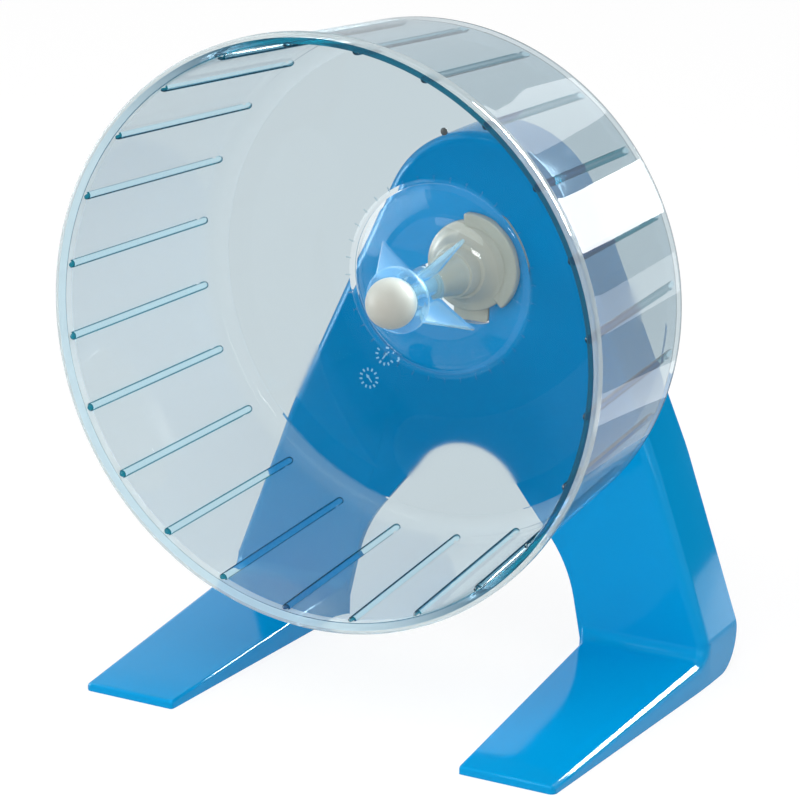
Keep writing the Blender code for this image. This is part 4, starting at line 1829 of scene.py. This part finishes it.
    def lock_openings(self) -> list[Mesh]:
        """Makes the cutters for the round socket, the tab's slot and the ear's notch.

        Returns:
            Three closed meshes.
        """
        front = self.face_depth - self.lock_reach[0]
        back = self.face_depth + self.wall + self.lock_reach[1]
        edge = math.degrees(math.asin(self.tab_half / self.tab_sweep))
        inner = self.socket_radius / 2
        inner_edge = math.degrees(math.atan2(self.tab_half, inner))
        reach = math.hypot(self.tab_half, inner)
        slot = [polar(reach, -90.0 + inner_edge)]
        slot += arc((0.0, 0.0), self.tab_sweep, -90.0 + edge, -90.0 - self.twist - edge)
        slot.append(polar(reach, -90.0 - self.twist - inner_edge))
        turn, half = 90.0 - self.twist, self.notch_half
        notch = sector(inner, self.ear_radius, turn - half, turn + half)
        circle = arc((0.0, 0.0), self.socket_radius, 0.0, 356.0)
        return [prism(outline, front, back) for outline in (circle, slot, notch)]

    def lock_wall(self) -> Mesh:
        """Makes the low round wall behind the face that guards the spindle's ears.

        Returns:
            A closed mesh.
        """
        outer = self.lock_wall_radius
        inner = outer - self.lock_wall_thickness
        root = self.face_depth + self.wall / 2
        end = self.face_depth + self.wall + self.lock_wall_height
        section = [(outer, root), (outer, end), (inner, end), (inner, root)]
        return turned(section, self.lock_steps, closed=True)

    def build(self) -> None:
        """Builds and dresses the stand and the moulding dials on its face."""
        hollow = prism(
            rounded(self.outer(self.wall, self.margin)),
            self.face_depth + self.wall,
            self.back_depth + self.margin,
        )
        tools = [(self.heel(), Cut.TAKE), (self.foot(1), Cut.JOIN), (self.foot(-1), Cut.JOIN)]
        tools += [(hollow, Cut.TAKE), (self.pocket(1), Cut.TAKE), (self.pocket(-1), Cut.TAKE)]
        tools.append((self.lock_wall(), Cut.JOIN))
        tools += [(cutter, Cut.TAKE) for cutter in self.lock_openings()]
        mesh = combine(self.shell(), tools)
        Moulding("blue_stand", Body.STAND, Slot.BLUE, ("stand_shell",)).add(
            mesh, self.finishes.blue.make("blue stand plastic")
        )
        # The dials are dressed in a lighter blue than the stand: painted highlight.
        mark = self.finishes.blue_mark_highlight.make("blue dial marks")
        for name, centre, turn in self.dials:
            dial = Dial(centre=centre, turn=turn, face_depth=self.face_depth)
            Moulding(name, Body.STAND, Slot.BLUE).add(dial.mesh(mark), mark)


@dataclass
class Dial:
    """A plain moulding dial: a ring of ticks with an arrow in its middle."""

    centre: Point
    turn: float
    face_depth: float
    radius: float = 0.0030
    count: int = 12
    tick: Triple = (0.0010, 0.00055, 0.0003)
    proud: float = 0.00012
    arrow_share: float = 0.55
    neck_share: float = 0.25
    shaft_share: float = 0.35
    head_share: float = 1.1

    def mesh(self, material: Material) -> Mesh:
        """Makes the ring of ticks and the arrow as one mesh.

        Args:
            material: The marks' finish.

        Returns:
            The dial's mesh in the face frame.
        """
        _, wide, high = self.tick
        low = self.face_depth - self.proud
        middle = (self.radius, 0.0, -(low + high / 2))
        ticks = ring_of_boxes("dial ticks", material, self.count, self.turn, self.tick, middle)
        tip = self.radius * self.arrow_share
        neck, shaft = tip * self.neck_share, wide * self.shaft_share
        side = [(neck, wide * self.head_share), (neck, shaft), (-tip, shaft)]
        outline = [(x, -y) for x, y in reversed(side)] + [(tip, 0.0)] + side
        arrow = prism(outline, low, low + high)
        arrow.transform(Matrix.Rotation(math.radians(self.turn + 90.0), 4, "Z"))
        shape = bmesh.new()
        shape.from_mesh(ticks)
        shape.from_mesh(arrow)
        mesh = baked(shape, "dial")
        mesh.transform(Matrix.Translation((*self.centre, 0.0)))
        return mesh


# Studio


def card(name: str, corners: list[Triple], material: Material) -> bpy.types.Object:
    """Adds a flat card with four corners.

    Args:
        name: The card's name.
        corners: Its corners in the world, in order.
        material: Its finish.

    Returns:
        The card.
    """
    mesh = bpy.data.meshes.new(name)
    mesh.from_pydata(corners, [], [(0, 1, 2, 3)])
    mesh.materials.append(material)
    return linked(name, mesh)


@dataclass(frozen=True)
class Softbox:
    """A soft rectangular lamp that looks at the wheel.

    One that doesn't light is a bright card, seen only in what is glossy. One that shines through
    is also seen through the clear plastic.
    """

    name: str
    direction: Triple
    distance: float
    width: float
    height: float
    radiance: float
    roll: float = 0.0
    lights: bool = True
    through: bool = False

    def add(self, target: Vector) -> None:
        """Adds the lamp to the scene, turned to the target and rolled about its own line.

        Args:
            target: The point in the world that it looks at.
        """
        data = bpy.data.lights.new(self.name, "AREA")
        data.shape = "RECTANGLE"
        data.size = self.width
        data.size_y = self.height
        data.energy = self.radiance * math.pi * self.width * self.height
        lamp = linked(self.name, data)
        away = Vector(self.direction).normalized()
        lamp.location = target + away * self.distance
        roll = Quaternion((0.0, 0.0, 1.0), math.radians(self.roll))
        lamp.rotation_euler = (away.to_track_quat("Z", "Y") @ roll).to_euler()
        lamp.visible_camera = False
        lamp.visible_transmission = self.through
        lamp.visible_diffuse = self.lights


@dataclass
class Studio:
    """A plain pale floor, soft lamps, a white world and the photograph's camera."""

    azimuth: float = 0.4729
    elevation: float = 0.2951
    roll: float = 0.0246
    distance: float = 1.03262
    lens: float = 155.246
    aim: Triple = (0.01195, -0.03285, 0.10208)
    ambient: float = 0.70
    sensor: float = 36.0
    clip: tuple[float, float] = (0.05, 20.0)
    floor_half: float = 6.0
    floor_grey: float = 0.80
    floor_glow: float = 1.06
    floor_glow_share: float = 0.80
    flag_feet: tuple[Triple, Triple] = ((0.412, 0.790, 0.0), (0.760, 0.560, 0.0))
    flag_height: float = 0.30
    flag_grey: float = 0.02
    # Each lamp: name, direction, distance, width, height, radiance and roll.
    lamps: tuple[Softbox, ...] = (
        Softbox("key", (0.0, -0.72, 0.70), 1.8, 1.5, 1.1, 2.9),
        Softbox("left_window", (-0.86, -0.47, 0.14), 1.3, 0.46, 0.46, 5.2),
        Softbox("right_fill", (0.93, -0.20, 0.30), 1.5, 0.7, 0.8, 0.8),
        Softbox("top", (0.10, 0.05, 1.0), 1.8, 1.2, 1.2, 1.3),
        Softbox("panel_card", (0.268, 0.947, 0.158), 1.4, 0.34, 0.25, 14.0, -19.0, lights=False),
        Softbox("upper_card", (0.090, 0.912, 0.400), 1.305, 0.30, 0.14, 3.0, -15.0, lights=False),
        Softbox("side_card", (0.415, 0.907, -0.075), 0.772, 0.12, 0.10, 2.0, 0.0, lights=False),
        Softbox("low_card", (0.563, 0.750, -0.347), 0.265, 0.26, 0.032, 1.8, 0.0, lights=False),
        Softbox("edge_card", (0.370, 0.778, 0.509), 1.5, 0.92, 0.30, 120.0, 44.0, lights=False),
        Softbox("foot_card", (-0.348, 0.820, 0.454), 1.395, 0.06, 0.010, 10.0, 40.0, lights=False),
        Softbox("bend_card", (-0.347, -0.42, 0.84), 1.5, 0.20, 0.16, 22.0, 0.0, lights=False),
        Softbox("spot_card", (0.173, -0.958, 0.227), 1.474, 0.26, 0.12, 25.0, 0.0, lights=False),
        Softbox("rim_card", (0.754, -0.522, 0.397), 1.5, 0.5, 0.9, 5.0, 0.0, lights=False),
        Softbox("line_card", (-0.94, -0.33, 0.02), 1.3, 0.75, 0.55, 16.0, 0.0, lights=False),
        Softbox(
            "left_card", (-0.90, -0.18, 0.38), 1.3, 1.1, 1.5, 3.4, 0.0, lights=False, through=True
        ),
    )

    def add_camera(self) -> None:
        """Adds the camera at the photograph's place, angle, roll and lens."""
        sin, cos = math.sin, math.cos
        back = Vector(
            (
                sin(self.azimuth) * cos(self.elevation),
                -cos(self.azimuth) * cos(self.elevation),
                sin(self.elevation),
            )
        )
        forward = -back
        right = forward.cross(Vector((0.0, 0.0, 1.0))).normalized()
        up = right.cross(forward)
        tilted_right = right * cos(self.roll) + up * sin(self.roll)
        tilted_up = up * cos(self.roll) - right * sin(self.roll)
        axes = Matrix((tilted_right, tilted_up, back)).transposed()
        data = bpy.data.cameras.new("photo_camera")
        data.lens = self.lens
        data.sensor_width = self.sensor
        data.clip_start, data.clip_end = self.clip
        camera = linked("photo_camera", data)
        place = Vector(self.aim) + back * self.distance
        camera.matrix_world = Matrix.Translation(place) @ axes.to_4x4()
        bpy.context.scene.camera = camera

    def add_world(self) -> None:
        """Makes a world that is white to look at and soft grey as a light."""
        world = bpy.data.worlds.new("studio")
        shader = ShaderTree(world, "ShaderNodeOutputWorld")
        strength = shader.spread(shader.seen(), self.ambient, 1.0)
        shader.finish(shader.add("ShaderNodeBackground", Color=WHITE, Strength=strength))
        bpy.context.scene.world = world

    def add_floor(self) -> None:
        """Adds the pale floor, which looks white and keeps the object's soft shadow."""
        grey, half = self.floor_grey, self.floor_half
        shader = ShaderTree(bpy.data.materials.new("pale floor"))
        matt = shader.add("ShaderNodeBsdfDiffuse", Color=(grey, grey, grey, 1.0))
        glow = shader.add("ShaderNodeEmission", Color=WHITE, Strength=self.floor_glow)
        share = shader.math("MULTIPLY", shader.seen(), self.floor_glow_share)
        corners = [(x * half, y * half, 0.0) for x, y in ((-1, -1), (1, -1), (1, 1), (-1, 1))]
        floor = card("floor", corners, shader.finish(shader.mix(share, matt, glow)))
        floor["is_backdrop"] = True

    def add_flag(self) -> None:
        """Stands a black card behind the stand's right side, which only reflections see."""
        grey = self.flag_grey
        shader = ShaderTree(bpy.data.materials.new("black card"))
        matt = shader.add("ShaderNodeBsdfDiffuse", Color=(grey, grey, grey, 1.0))
        left, right = self.flag_feet
        top = [(x, y, self.flag_height) for x, y, _ in (right, left)]
        flag = card("black_flag", [left, right, *top], shader.finish(matt))
        flag.visible_camera = False
        flag.visible_diffuse = False
        flag.visible_transmission = False
        flag.visible_shadow = False
        flag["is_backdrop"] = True

    def build(self) -> None:
        """Sets up the whole studio."""
        self.add_camera()
        self.add_world()
        self.add_floor()
        self.add_flag()
        low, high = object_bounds()
        target = (Vector(low) + Vector(high)) / 2
        for lamp in self.lamps:
            lamp.add(target)
        bpy.context.scene.view_settings.view_transform = "Standard"


def main() -> None:
    logging.basicConfig(level=logging.INFO, format="%(name)s: %(message)s")
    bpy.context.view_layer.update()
    finishes = Finishes()
    Studio().build()
    for assembly in (Stand(finishes), Spindle(finishes), Knob(finishes), Drum(finishes)):
        assembly.build()


if __name__ == "__main__":
    main()
